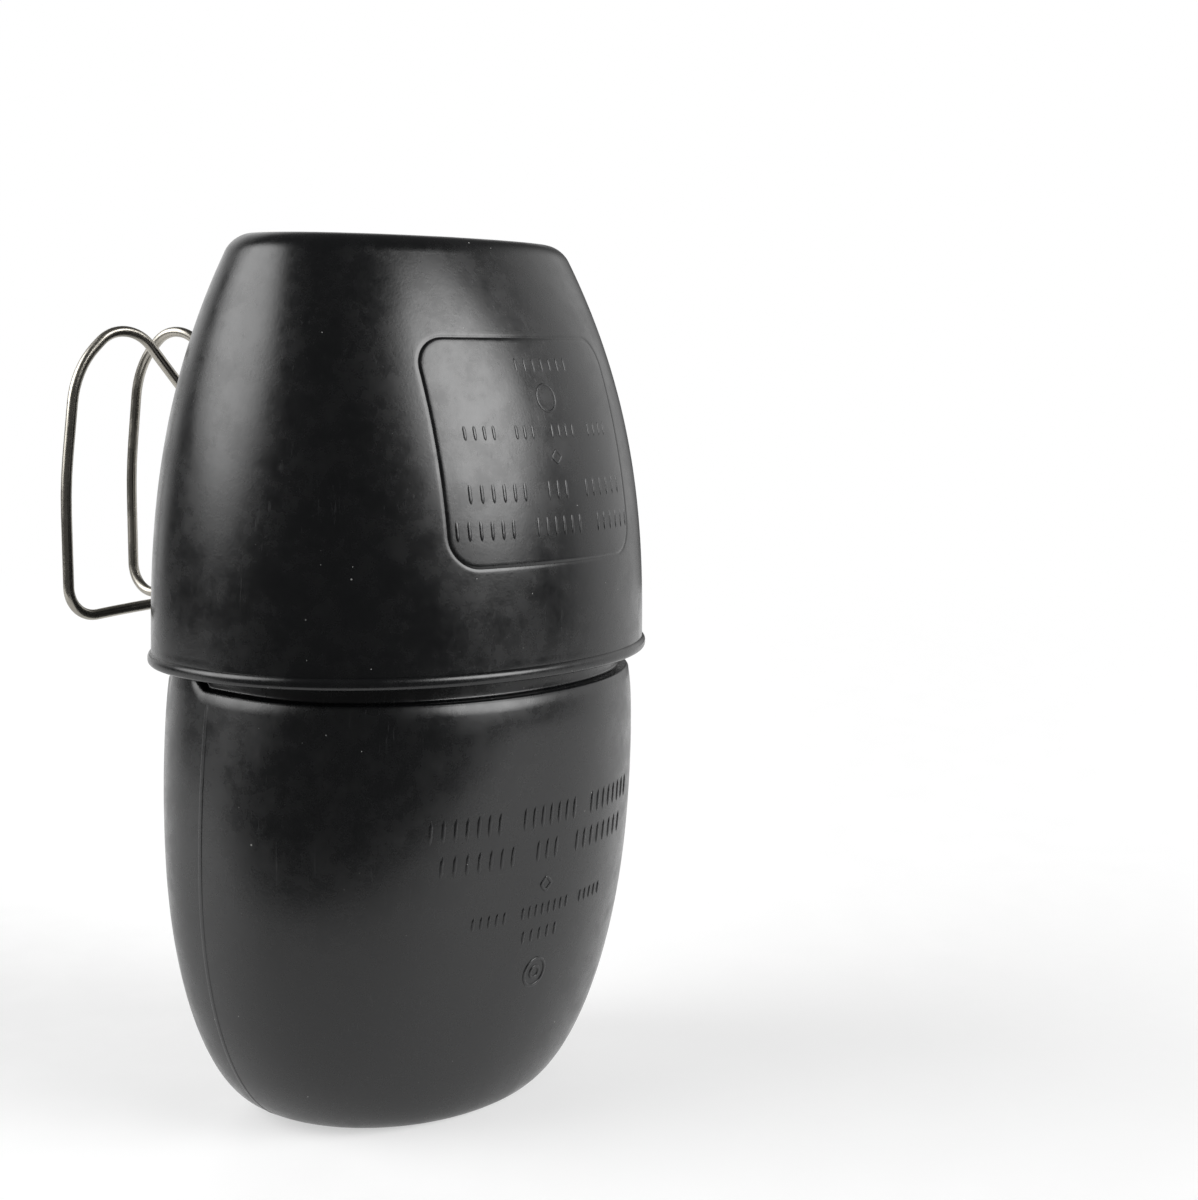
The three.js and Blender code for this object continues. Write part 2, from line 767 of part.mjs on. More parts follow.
const bottle = new THREE.Group();
bottle.add(piece("bottle_body", bottleBody(), bottleBlack));
bottle.add(piece("screw_cap", screwCap(), capBlack));
bottle.add(piece("cap_seal", capSeal(), sealGrey));
bottle.add(piece("cap_strap", capStrap(), strapBlack));
bottle.add(piece("strap_stud", strapStud(), capBlack));

const mug = new THREE.Group();
mug.add(piece("mug_body", mugBody(), mugBlack));
mug.add(piece("handle_bracket", handleBracket(), bareSteel));
rivetHeights.forEach((z, index) => {
  mug.add(piece(`bracket_rivet_${index + 1}`, bracketRivet(z), bareSteel));
  mug.add(piece(`rivet_washer_${index + 1}`, rivetWasher(z), bareSteel));
});

for (const [name, side, angle] of [
  ["handle_left", -1, leftHandleAngle],
  ["handle_right", 1, rightHandleAngle],
]) {
  const handle = piece(name, wireHandle(side), bareSteel);
  handle.position.set((side * pivotSpacing) / 2, pivotY, 0);
  handle.rotation.z = THREE.MathUtils.degToRad(angle);
  mug.add(handle);
}

const canteen = new THREE.Group();
canteen.add(bottle, mug);

export default canteen;
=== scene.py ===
"""Moulded oval water bottle with its drinking mug turned over the neck.

Builds the finished surfaces, materials, floor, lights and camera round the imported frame.
Everything is in metres, +Z up, with -Y the marked front and +Y the side of the handle bracket.
"""

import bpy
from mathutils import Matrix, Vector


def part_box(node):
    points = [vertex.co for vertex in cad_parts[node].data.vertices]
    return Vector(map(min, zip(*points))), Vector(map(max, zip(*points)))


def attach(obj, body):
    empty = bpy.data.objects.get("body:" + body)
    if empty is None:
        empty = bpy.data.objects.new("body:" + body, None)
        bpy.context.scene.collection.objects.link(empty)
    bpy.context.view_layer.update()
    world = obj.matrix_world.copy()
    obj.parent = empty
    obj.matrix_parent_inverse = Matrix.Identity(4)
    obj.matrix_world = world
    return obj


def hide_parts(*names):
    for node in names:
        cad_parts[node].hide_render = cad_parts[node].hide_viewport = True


bl_info = {
    "name": "Canteen Maker",
    "version": (1, 0, 0),
    "blender": (4, 5, 0),
    "location": "3D View > Sidebar > Canteen",
    "description": "Builds an oval water bottle, its mug, screw cap and folding wire handles",
    "category": "Add Mesh",
}

import math

import bpy
import numpy as np
from bpy.props import FloatProperty, FloatVectorProperty, IntProperty, PointerProperty
from mathutils import Matrix, Vector

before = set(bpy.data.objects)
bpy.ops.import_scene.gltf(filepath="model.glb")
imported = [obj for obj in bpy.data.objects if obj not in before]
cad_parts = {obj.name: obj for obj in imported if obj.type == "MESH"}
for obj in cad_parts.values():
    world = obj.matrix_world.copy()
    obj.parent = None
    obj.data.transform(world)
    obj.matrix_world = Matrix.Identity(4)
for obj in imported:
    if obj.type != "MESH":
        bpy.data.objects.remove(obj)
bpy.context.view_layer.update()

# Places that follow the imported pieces.
BOTTLE_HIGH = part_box("bottle_body")[1]
MUG_LOW, MUG_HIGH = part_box("mug_body")
CAP_LOW, CAP_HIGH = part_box("screw_cap")
SEAL_LOW, SEAL_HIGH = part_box("cap_seal")
STRAP_LOW, STRAP_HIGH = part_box("cap_strap")
STUD_LOW, STUD_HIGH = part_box("strap_stud")
BRACKET_LOW, BRACKET_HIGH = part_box("handle_bracket")
RIVETS = ["bracket_rivet_1", "bracket_rivet_2", "bracket_rivet_3"]
WASHERS = ["rivet_washer_1", "rivet_washer_2", "rivet_washer_3"]
NECK_Y = (CAP_LOW.y + CAP_HIGH.y) / 2

FULL_TURN = 2 * math.pi
AROUND = 384  # points round each oval
OVAL_SIZES = ("half", "front", "back")
CLEARANCE = 0.0003  # gap left between two pieces that nearly meet
THREAD_DROP = 0.0067  # from the mouth down to the start of the neck's thread
THREAD_HEIGHT = 0.0014
THREAD_PITCH = 0.004
THREAD_TURNS = 1.2


# ---------------------------------------------------------------------------
# Sizes and colours that a user would change
# ---------------------------------------------------------------------------

def length(name, description, default):
    return FloatProperty(name=name, description=description, default=default, unit="LENGTH", precision=5)


def number(name, description, default):
    return FloatProperty(name=name, description=description, default=default, precision=3)


def colour(name, description, default):
    return FloatVectorProperty(
        name=name, description=description, default=default, subtype="COLOR", size=3, min=0, max=1
    )


class CANTEEN_PG_oval(bpy.types.PropertyGroup):
    front_roundness: number("Front roundness", "Exponent of the front half of the oval", 2.1)
    back_roundness: number("Back roundness", "Exponent of the back half of the oval", 2.25)
    back_share: number("Back share", "Depth of the back as a share of the front's", 0.84)


class CANTEEN_PG_bottle(bpy.types.PropertyGroup):
    ledge_height: length("Ledge height", "Height of the ledge below the mug", 0.1038)
    base_half_width: length("Base half width", "Half the width of the flat base", 0.033)
    base_front: length("Base front", "Depth of the flat base in front of the middle", 0.0293)
    widest_half_width: length("Widest half width", "Half the width at the belly", 0.0615)
    widest_at_height: length("Widest at", "Height of the widest point", 0.0636)
    deepest_front: length("Deepest front", "Front depth at the deepest point", 0.0512)
    deepest_at_height: length("Deepest at", "Height of the deepest point", 0.096)
    ledge_half_width: length("Ledge half width", "Half the width at the ledge", 0.0588)
    ledge_front: length("Ledge front", "Front depth at the ledge", 0.0504)
    width_fullness: number("Width fullness", "Exponent of the belly seen from the front", 2.07)
    depth_fullness: number("Depth fullness", "Exponent of the belly seen from the side", 1.6)
    upper_half_width: length("Upper half width", "Half the width inside the mug", 0.0568)
    upper_front: length("Upper front", "Front depth inside the mug", 0.0473)
    upper_back: length("Upper back", "Back depth inside the mug", 0.038)
    upper_rise: length("Upper rise", "Height from the ledge to the shoulder", 0.0192)
    neck_below_cap: length("Neck below cap", "Height from the shoulder to the cap's skirt", 0.0105)
    neck_radius: length("Neck radius", "Radius outside the neck", 0.015)
    bore_radius: length("Bore radius", "Radius of the opening", 0.0124)
    wall: length("Wall", "Thickness of the moulded wall", 0.002)
    floor: length("Floor", "Thickness of the bottom", 0.0024)
    ledge_round: length("Ledge rounding", "Radius of the ledge's outer edge", 0.0008)
    stop_angle: number("Stop angle", "Radians of each end taken by a raised stop", 0.3)
    end_rise: length("End rise", "How much higher the ledge is at its ends", 0.0007)
    line_width: length("Parting line width", "Width of the mould's parting line", 0.0013)
    line_height: length("Parting line height", "How far the parting line stands out", 0.0001)
    mark_height: length("Mark height", "How far the raised marks stand out", 0.00024)


class CANTEEN_PG_mug(bpy.types.PropertyGroup):
    wall: length("Wall", "Thickness of the moulded wall", 0.002)
    end_thickness: length("End thickness", "Thickness of the flat end", 0.0026)
    end_round: length("End rounding", "Height of the rounded edge of the flat end", 0.004)
    end_width_share: number("End width", "Width at the top of the wall as a share of the rim's", 0.745)
    end_depth_share: number("End depth", "Depth at the top of the wall as a share of the rim's", 0.575)
    width_fullness: number("Width fullness", "How late the wall turns in, seen from the front", 2.65)
    depth_fullness: number("Depth fullness", "How late the wall turns in, seen from the side", 2.4)
    lip_height: length("Lip height", "Height of the lip", 0.003)
    lip_proud: length("Lip proud", "How far the lip stands out from the wall", 0.0008)
    guide_gap: length("Guide gap", "Clearance between the lip's bead and the bottle", 0.0008)
    guide_taper: length("Guide taper", "Height over which the bead thins to the wall", 0.0025)
    panel_half_width: length("Panel half width", "Half the width of the marked panel", 0.030)
    panel_low: length("Panel low", "Height of the panel's lower edge above the rim", 0.0253)
    panel_high: length("Panel high", "Height of the panel's upper edge above the rim", 0.0751)
    panel_corner: length("Panel corner", "Radius of the panel's corners", 0.0072)
    groove_width: length("Groove width", "Width of the line round the panel", 0.0008)
    groove_depth: length("Groove depth", "Depth of the line round the panel", 0.00014)
    panel_raise: length("Panel raise", "How far the panel stands out inside its line", 0.00008)
    mark_height: length("Mark height", "How far the raised marks stand out", 0.0002)
    pad_margin: length("Pad margin", "Width of the moulded pad round the bracket", 0.002)


class CANTEEN_PG_cap(bpy.types.PropertyGroup):
    thread_root: length("Thread root", "Radius inside the cap's skirt", 0.017)
    rib_depth: length("Rib depth", "How far the grip ribs stand out", 0.0007)
    ribs: IntProperty(name="Ribs", description="Number of grip ribs", default=20, min=3)
    top: length("Top", "Thickness of the cap's top", 0.0024)
    socket_radius: length("Socket radius", "Radius of the socket for the strap's stud", 0.00205)
    thread_pitch: length("Thread pitch", "Rise of the thread in one turn", THREAD_PITCH)


class CANTEEN_PG_strap(bpy.types.PropertyGroup):
    thickness: length("Thickness", "Thickness of the strap", 0.0014)
    width: length("Width", "Width of the strap's band", 0.009)
    bend: length("Bend", "Outer radius of the band's bends", 0.002)
    disc_radius: length("Disc radius", "Radius of the disc under the stud", 0.0065)
    eye_radius: length("Eye radius", "Radius of the hole round the stud", 0.00205)


class CANTEEN_PG_steel(bpy.types.PropertyGroup):
    wire_radius: length("Wire radius", "Radius of the handle wire", 0.0013)
    pivot_spacing: length("Pivot spacing", "Distance between the two pivots", 0.014)
    plate_thickness: length("Plate thickness", "Thickness of the bracket's plate", 0.0011)
    strip_width: length("Strip width", "Width of the riveted strip", 0.009)
    barrel_length: length("Barrel length", "Length of the rolled barrels", 0.017)
    handle_arc: length("Handle arc", "Plan radius of a handle's bow", 0.075)
    left_angle: number("Left handle angle", "Degrees from straight back towards -X", 57.0)
    right_angle: number("Right handle angle", "Degrees from straight back towards -X", 39.6)


class CANTEEN_PG_finish(bpy.types.PropertyGroup):
    bottle: colour("Bottle", "Colour of the bottle's plastic", (0.0026, 0.0028, 0.0031))
    mug: colour("Mug", "Colour of the mug's plastic", (0.0024, 0.0026, 0.0029))
    cap: colour("Cap", "Colour of the cap's plastic", (0.0060, 0.0060, 0.0064))
    strap: colour("Strap", "Colour of the strap's plastic", (0.0085, 0.0085, 0.0086))
    seal: colour("Seal", "Colour of the rubber seal", (0.13, 0.125, 0.115))
    steel: colour("Steel", "Colour of the bare steel", (0.46, 0.45, 0.43))
    wire: colour("Wire", "Colour of the handle wire", (0.40, 0.38, 0.335))


# ---------------------------------------------------------------------------
# Mesh building
# ---------------------------------------------------------------------------

class Parts:
    """Points and faces of one piece, gathered from several closed bodies."""

    def __init__(self):
        self.points = []
        self.faces = []
        self.wear = []
        self.count = 0

    def add(self, points, faces, wear=0.0):
        points = np.asarray(points, float)
        self.points.append(points)
        self.faces.extend([tuple(int(i) + self.count for i in face) for face in faces])
        self.wear.append(np.broadcast_to(np.asarray(wear, float), len(points)))
        self.count += len(points)


def make_piece(name, parts, material, body, slot, *nodes, sharp=50.0):
    mesh = bpy.data.meshes.new(name)
    mesh.from_pydata(np.concatenate(parts.points).tolist(), [], parts.faces)
    mesh.polygons.foreach_set("use_smooth", [True] * len(mesh.polygons))
    mesh.set_sharp_from_angle(angle=math.radians(sharp))
    worn = mesh.attributes.new("wear", "FLOAT", "POINT")
    worn.data.foreach_set("value", np.concatenate(parts.wear).astype(np.float32))
    mesh.materials.append(material)
    mesh.validate()
    piece = bpy.data.objects.new(name, mesh)
    bpy.context.scene.collection.objects.link(piece)
    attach(piece, body)
    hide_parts(*nodes)
    return piece


def angles(count):
    """Angles of points evenly spaced round one turn."""
    return np.arange(count) / count * FULL_TURN


def loft(rings, closed=False):
    """Faces over rings of equal point count; open ends are closed with a fan round their middle."""
    rings = [np.asarray(ring, float) for ring in rings]
    count = len(rings[0])
    points = np.concatenate(rings)
    faces = []
    pairs = len(rings) if closed else len(rings) - 1
    for row in range(pairs):
        low = row * count
        high = ((row + 1) % len(rings)) * count
        for side in range(count):
            after = (side + 1) % count
            faces.append((low + side, low + after, high + after, high + side))
    if not closed:
        first, last = len(points), len(points) + 1
        points = np.vstack([points, rings[0].mean(0), rings[-1].mean(0)])
        top = (len(rings) - 1) * count
        for side in range(count):
            after = (side + 1) % count
            faces.append((first, after, side))
            faces.append((last, top + side, top + after))
    return points, faces


def unit(vectors):
    return vectors / np.maximum(np.linalg.norm(vectors, axis=-1, keepdims=True), 1e-12)


def along(path, closed=False):
    """Unit directions along a line of points."""
    if closed:
        return unit(np.roll(path, -1, 0) - np.roll(path, 1, 0))
    return unit(np.gradient(path, axis=0))


def bead(path, normals, width, height, closed=False, sink=0.0004):
    """Rounded bead along a line on a surface, closed underneath and sunk a little into it."""
    side = unit(np.cross(along(path, closed), normals))
    turns = np.linspace(0, math.pi, 7)
    across = np.concatenate([np.cos(turns) * width / 2, [-width / 2, width / 2]])
    above = np.concatenate([np.sin(turns) ** 0.8 * height, [-sink, -sink]])
    size = np.ones(len(path))
    if not closed:  # the ends taper off
        size[[0, -1]] = 0.12
        size[[1, -2]] = 0.72
    rings = []
    for place, out, aside, share in zip(path, normals, side, size):
        rise = np.where(above > 0, above * share, above)
        rings.append(place + aside * (across * share)[:, None] + out * rise[:, None])
    worn = np.clip(np.concatenate([above] * len(path)) / height, 0, 1)
    points, faces = loft(rings, closed)
    if not closed:
        worn = np.concatenate([worn, [0, 0]])
    return points, faces, worn


def transported(path, start_side):
    """Two unit directions square to a path, carried along it without twist."""
    tangents = along(path)
    side = np.asarray(start_side, float)
    sides = []
    for tangent in tangents:
        side = unit(side - tangent * np.dot(side, tangent))
        sides.append(side)
    sides = np.array(sides)
    return sides, np.cross(tangents, sides)


def swept(path, outline, start_side):
    """A closed outline carried along a path; outline columns are aside and across."""
    sides, ups = transported(path, start_side)
    rings = [
        place + outline[:, :1] * side + outline[:, 1:] * up
        for place, side, up in zip(path, sides, ups)
    ]
    return loft(rings)


def circle(count, radius=1.0):
    turn = angles(count)
    return np.stack([np.cos(turn) * radius, np.sin(turn) * radius], 1)


def turned(profile, count, centre=(0, 0), reach=None):
    """Rings of a profile of (radius, height) turned about a standing axis."""
    turn = angles(count)
    rings = []
    for radius, height in profile:
        size = radius if reach is None else radius + reach(turn, height)
        ring = np.stack([np.cos(turn) * size, np.sin(turn) * size, np.full(count, height)], 1)
        rings.append(ring + [centre[0], centre[1], 0])
    return rings


def arc(centre, radius, start, finish, steps):
    """Points (radius, height) on an arc, angles in degrees."""
    turn = np.radians(np.linspace(start, finish, steps + 1))
    return [(centre[0] + radius * math.cos(t), centre[1] + radius * math.sin(t)) for t in turn]


def ring_profile(inner, outer, low, high, edge, steps):
    """Cross-section of a flat ring with rounded edges."""
    profile = arc((inner + edge, low + edge), edge, 180, 270, steps)
    profile += arc((outer - edge, low + edge), edge, 270, 360, steps)
    profile += arc((outer - edge, high - edge), edge, 0, 90, steps)
    profile += arc((inner + edge, high - edge), edge, 90, 180, steps)
    return profile


def dome_profile(radius, base, rise, turns):
    """Points (radius, height) up a low dome, from its edge to its middle."""
    return [(radius * math.cos(turn), base + rise * math.sin(turn)) for turn in turns]


def smooth(value):
    """Eases from 0 to 1 as the value goes from 0 to 1."""
    value = np.clip(value, 0, 1)
    return value * value * (3 - 2 * value)


# ---------------------------------------------------------------------------
# Oval sections
# ---------------------------------------------------------------------------

def section(z, half, front, back, centre_y=0.0, powers=None):
    """One level oval: half its width, its depth to the front and to the back of its middle."""
    oval = bpy.context.scene.canteen_oval
    powers = powers or (oval.front_roundness, oval.back_roundness)
    return {"z": z, "half": half, "front": front, "back": back, "y": centre_y, "powers": powers}


def wall_section(z, half, front):
    """Oval of the bottle's or the mug's wall, whose back is shallower than its front."""
    back = float(front) * bpy.context.scene.canteen_oval.back_share
    return section(z, float(half), float(front), back)


def inset(base, amount, z=None):
    """The same oval made smaller all round, at another height where one is given."""
    changed = dict(base, z=base["z"] if z is None else z)
    for key in OVAL_SIZES:
        changed[key] = base[key] - amount
    return changed


def scaled(base, share, z, less=0.0):
    """Oval at height z whose sizes are those of the base, lessened and then scaled."""
    return section(z, *((base[key] - less) * share for key in OVAL_SIZES))


def oval_ring(base, lift=0):
    """Points of an oval; lift raises them by one amount or each by its own."""
    turn = angles(AROUND)
    across, deep = np.cos(turn), np.sin(turn)
    is_front = deep < 0
    power = 2 / np.where(is_front, base["powers"][0], base["powers"][1])
    depth = np.where(is_front, base["front"], base["back"])
    x = base["half"] * np.sign(across) * np.abs(across) ** power
    y = base["y"] + depth * np.sign(deep) * np.abs(deep) ** power
    return np.stack([x, y, np.full(AROUND, base["z"]) + lift], 1)


def round_section(z, radius):
    return section(z, radius, radius, radius, NECK_Y, (2.0, 2.0))


def front_points(shape, x, z):
    """Points of the front surface at widths x and heights z, with their outward normals."""
    x, z = np.broadcast_arrays(np.asarray(x, float), np.asarray(z, float))

    def place(x, z):
        half, front, power = shape(z)
        y = -front * (1 - np.clip(np.abs(x) / half, 0, 1) ** power) ** (1 / power)
        return np.stack([x, y, z], -1)

    step = 2e-4
    across = place(x + step, z) - place(x - step, z)
    upward = place(x, z + step) - place(x, z - step)
    return place(x, z), unit(np.cross(across, upward))


# ---------------------------------------------------------------------------
# Materials
# ---------------------------------------------------------------------------

class Nodes:
    """Short words for building a material's node tree."""

    def __init__(self, name):
        self.material = bpy.data.materials.new(name)
        self.material.use_nodes = True
        self.tree = self.material.node_tree
        self.shader = self.tree.nodes["Principled BSDF"]
        self.place = self.add("ShaderNodeTexCoord").outputs["Object"]

    def add(self, kind, inputs=(), **settings):
        node = self.tree.nodes.new(kind)
        for key, value in settings.items():
            setattr(node, key, value)
        for key, value in dict(inputs).items():
            self.put(node.inputs[key], value)
        return node

    def put(self, socket, value):
        if isinstance(value, bpy.types.NodeSocket):
            self.tree.links.new(value, socket)
        else:
            socket.default_value = value

    def stretched(self, scale, rotation=(0, 0, 0)):
        inputs = {"Vector": self.place, "Scale": scale, "Rotation": rotation}
        return self.add("ShaderNodeMapping", inputs).outputs["Vector"]

    def noise(self, scale, detail=2.0, roughness=0.5, vector=None, distortion=0.0):
        inputs = {
            "Vector": self.place if vector is None else vector,
            "Scale": scale,
            "Detail": detail,
            "Roughness": roughness,
            "Distortion": distortion,
        }
        return self.add("ShaderNodeTexNoise", inputs).outputs["Fac"]

    def range(self, value, low, high, to_low=0.0, to_high=1.0):
        inputs = {"Value": value, "From Min": low, "From Max": high, "To Min": to_low, "To Max": to_high}
        return self.add("ShaderNodeMapRange", inputs, interpolation_type="SMOOTHSTEP").outputs["Result"]

    def math(self, operation, first, second=0.0):
        node = self.add("ShaderNodeMath", operation=operation)
        self.put(node.inputs[0], first)
        self.put(node.inputs[1], second)
        return node.outputs[0]

    def mix(self, share, first, second):
        node = self.add("ShaderNodeMix", data_type="RGBA")
        self.put(node.inputs["Factor"], share)
        for socket, value in ((node.inputs[6], first), (node.inputs[7], second)):
            self.put(socket, (*value, 1.0) if isinstance(value, tuple) else value)
        return node.outputs[2]

    def worn(self):
        return self.add("ShaderNodeAttribute", attribute_name="wear").outputs["Fac"]

    def bump(self, height, distance, strength=1.0, under=None):
        inputs = {"Height": height, "Distance": distance, "Strength": strength}
        if under is not None:
            inputs["Normal"] = under
        return self.add("ShaderNodeBump", inputs).outputs["Normal"]

    def streaks(self, scale, rotation, low):
        """Fine long rubbing marks: a stretched noise, shown only where a broad noise is high."""
        fine = self.noise(1.0, 3.0, 0.6, self.stretched(scale, rotation))
        patch = self.range(self.noise(38.0, 2.0, 0.5), 0.5, 0.62)
        return self.math("MULTIPLY", self.range(fine, low, low + 0.12), patch)

    def specks(self, scale, size, share):
        """Scattered round specks: one in a cell, in a share of the cells."""
        cells = self.add("ShaderNodeTexVoronoi", {"Vector": self.place, "Scale": scale, "Randomness": 1.0})
        dot = self.range(cells.outputs["Distance"], size * 0.5, size, 1.0, 0.0)
        pick = self.add("ShaderNodeSeparateColor", {"Color": cells.outputs["Color"]}).outputs[0]
        return self.math("MULTIPLY", dot, self.range(pick, 1 - share, 1 - share + 0.02))

    def set(self, name, value):
        self.put(self.shader.inputs[name], value)


def moulded_plastic(name, base, roughness, scuffed, dusted):
    """Satin black polythene: soft waves, fine grain, scuffs, light scratches and dust."""
    n = Nodes(name)
    broad = n.noise(22.0, 3.0, 0.55)
    cloudy = n.noise(120.0, 5.0, 0.65)
    smudged = n.noise(340.0, 6.0, 0.7, distortion=0.4)
    scuffs = n.range(n.noise(300.0, 6.0, 0.7, distortion=0.6), 0.56, 0.74, 0.0, scuffed)
    lines = n.math(
        "MAXIMUM",
        n.streaks((1500, 1500, 40), (0.12, 0.1, 0.1), 0.6),
        n.streaks((60, 1300, 1300), (0.1, 0.5, 0.9), 0.66),
    )
    dust = n.math("MAXIMUM", n.specks(170.0, 0.045, dusted), n.specks(420.0, 0.07, dusted * 0.6))
    worn = n.worn()
    pale = tuple(channel * 2.0 + 0.003 for channel in base)
    tint = n.mix(n.range(broad, 0.35, 0.65, 0.0, 0.45), tuple(base), tuple(c * 1.5 for c in base))
    tint = n.mix(n.math("MULTIPLY", scuffs, 0.6), tint, pale)
    tint = n.mix(n.range(smudged, 0.52, 0.72, 0.0, 0.15), tint, pale)
    tint = n.mix(n.math("MULTIPLY", lines, 0.12), tint, (0.05, 0.05, 0.052))
    tint = n.mix(n.math("MULTIPLY", worn, 0.25), tint, (0.016, 0.016, 0.017))
    tint = n.mix(n.math("MULTIPLY", dust, 0.7), tint, (0.33, 0.33, 0.32))
    n.set("Base Color", tint)
    shine = n.range(cloudy, 0.3, 0.7, roughness - 0.05, roughness + 0.06)
    shine = n.math("ADD", shine, n.range(smudged, 0.35, 0.65, -0.018, 0.022))
    shine = n.math("ADD", shine, n.math("MULTIPLY", scuffs, 0.12))
    shine = n.math("ADD", shine, n.math("MULTIPLY", lines, 0.10))
    shine = n.math("ADD", shine, n.math("MULTIPLY", dust, 0.4))
    n.set("Roughness", shine)
    n.set("IOR", 1.5)
    waves = n.bump(broad, 0.00016)
    grain = n.bump(n.noise(1500.0, 3.0, 0.6), 0.000014, 1.0, waves)
    pits = n.bump(smudged, 0.000012, 1.0, n.bump(cloudy, 0.00003, 1.0, grain))
    n.set("Normal", n.bump(lines, 0.000003, 1.0, pits))
    return n.material


def dull_rubber(name, base):
    n = Nodes(name)
    cloudy = n.noise(160.0, 5.0, 0.6)
    n.set("Base Color", n.mix(cloudy, tuple(c * 0.75 for c in base), tuple(c * 1.2 for c in base)))
    n.set("Roughness", n.range(cloudy, 0.3, 0.7, 0.62, 0.82))
    n.set("Normal", n.bump(n.noise(1800.0, 3.0, 0.6), 0.00003))
    return n.material


def plain_steel(name, base, roughness, grain_scale):
    """Plain steel, a little dulled, with its drawing or rolling lines along grain_scale's long side."""
    n = Nodes(name)
    drawn = n.noise(1.0, 4.0, 0.6, n.stretched(grain_scale))
    dull = n.noise(90.0, 5.0, 0.65)
    spots = n.specks(220.0, 0.08, 0.06)
    tint = n.mix(n.range(dull, 0.4, 0.7), tuple(base), tuple(c * 0.68 for c in base))
    n.set("Base Color", n.mix(n.math("MULTIPLY", spots, 0.6), tint, (0.12, 0.105, 0.09)))
    n.set("Metallic", 1.0)
    shine = n.range(drawn, 0.3, 0.7, roughness - 0.06, roughness + 0.08)
    n.set("Roughness", n.math("ADD", shine, n.range(dull, 0.45, 0.75, 0.0, 0.12)))
    n.set("Normal", n.bump(drawn, 0.0000015, 1.0, n.bump(dull, 0.000012)))
    return n.material


# ---------------------------------------------------------------------------
# Bottle
# ---------------------------------------------------------------------------

def bottle_outline(z):
    """Half width, front depth and front roundness of the lower body at heights z."""
    s = bpy.context.scene.canteen_bottle
    roundness = bpy.context.scene.canteen_oval.front_roundness

    def swell(base, widest, widest_height, at_ledge, fullness):
        below = np.clip(1 - z / widest_height, 0, 1)
        rising = base + (widest - base) * (1 - below**fullness) ** (1 / fullness)
        above = np.clip((z - widest_height) / (s.ledge_height - widest_height), 0, 1)
        return np.where(z <= widest_height, rising, widest - (widest - at_ledge) * above**2)

    z = np.maximum(z, 0)
    half = swell(
        s.base_half_width, s.widest_half_width, s.widest_at_height, s.ledge_half_width, s.width_fullness
    )
    front = swell(s.base_front, s.deepest_front, s.deepest_at_height, s.ledge_front, s.depth_fullness)
    return half, front, roundness


def body_section(z, shape_height=None):
    """Oval of the lower body, with the shape that it has at shape_height where one is given."""
    half, front, _ = bottle_outline(np.float64(z if shape_height is None else shape_height))
    return wall_section(z, half, front)


def shoulder_section(turn, low, high, neck, wall):
    """Oval of the shoulder, which rounds over from the upper body at turn 0 to the neck."""
    s = bpy.context.scene.canteen_bottle
    oval = bpy.context.scene.canteen_oval
    out = math.cos(turn)
    sizes = [
        neck + (wide - wall - neck) * out for wide in (s.upper_half_width, s.upper_front, s.upper_back)
    ]
    powers = tuple(2 + (roundness - 2) * out for roundness in (oval.front_roundness, oval.back_roundness))
    return section(low + (high - low) * math.sin(turn), *sizes, NECK_Y * (1 - out), powers)


def stop_lift(height):
    """How far the ledge is lifted round the oval: a stop behind the parting line at each end."""
    s = bpy.context.scene.canteen_bottle
    turn = angles(AROUND)
    behind = np.where(turn > math.pi * 1.5, turn - FULL_TURN, turn)
    behind = np.minimum(behind, math.pi - behind)
    ramp_up = smooth(behind / (s.stop_angle * 0.36))
    ramp_down = smooth((s.stop_angle * 1.5 - behind) / (s.stop_angle * 0.35))
    ahead = np.abs(behind) * (behind < 0)
    toward_end = s.end_rise * smooth(1 - ahead / 0.6)
    return np.maximum(height * ramp_up * ramp_down, toward_end)


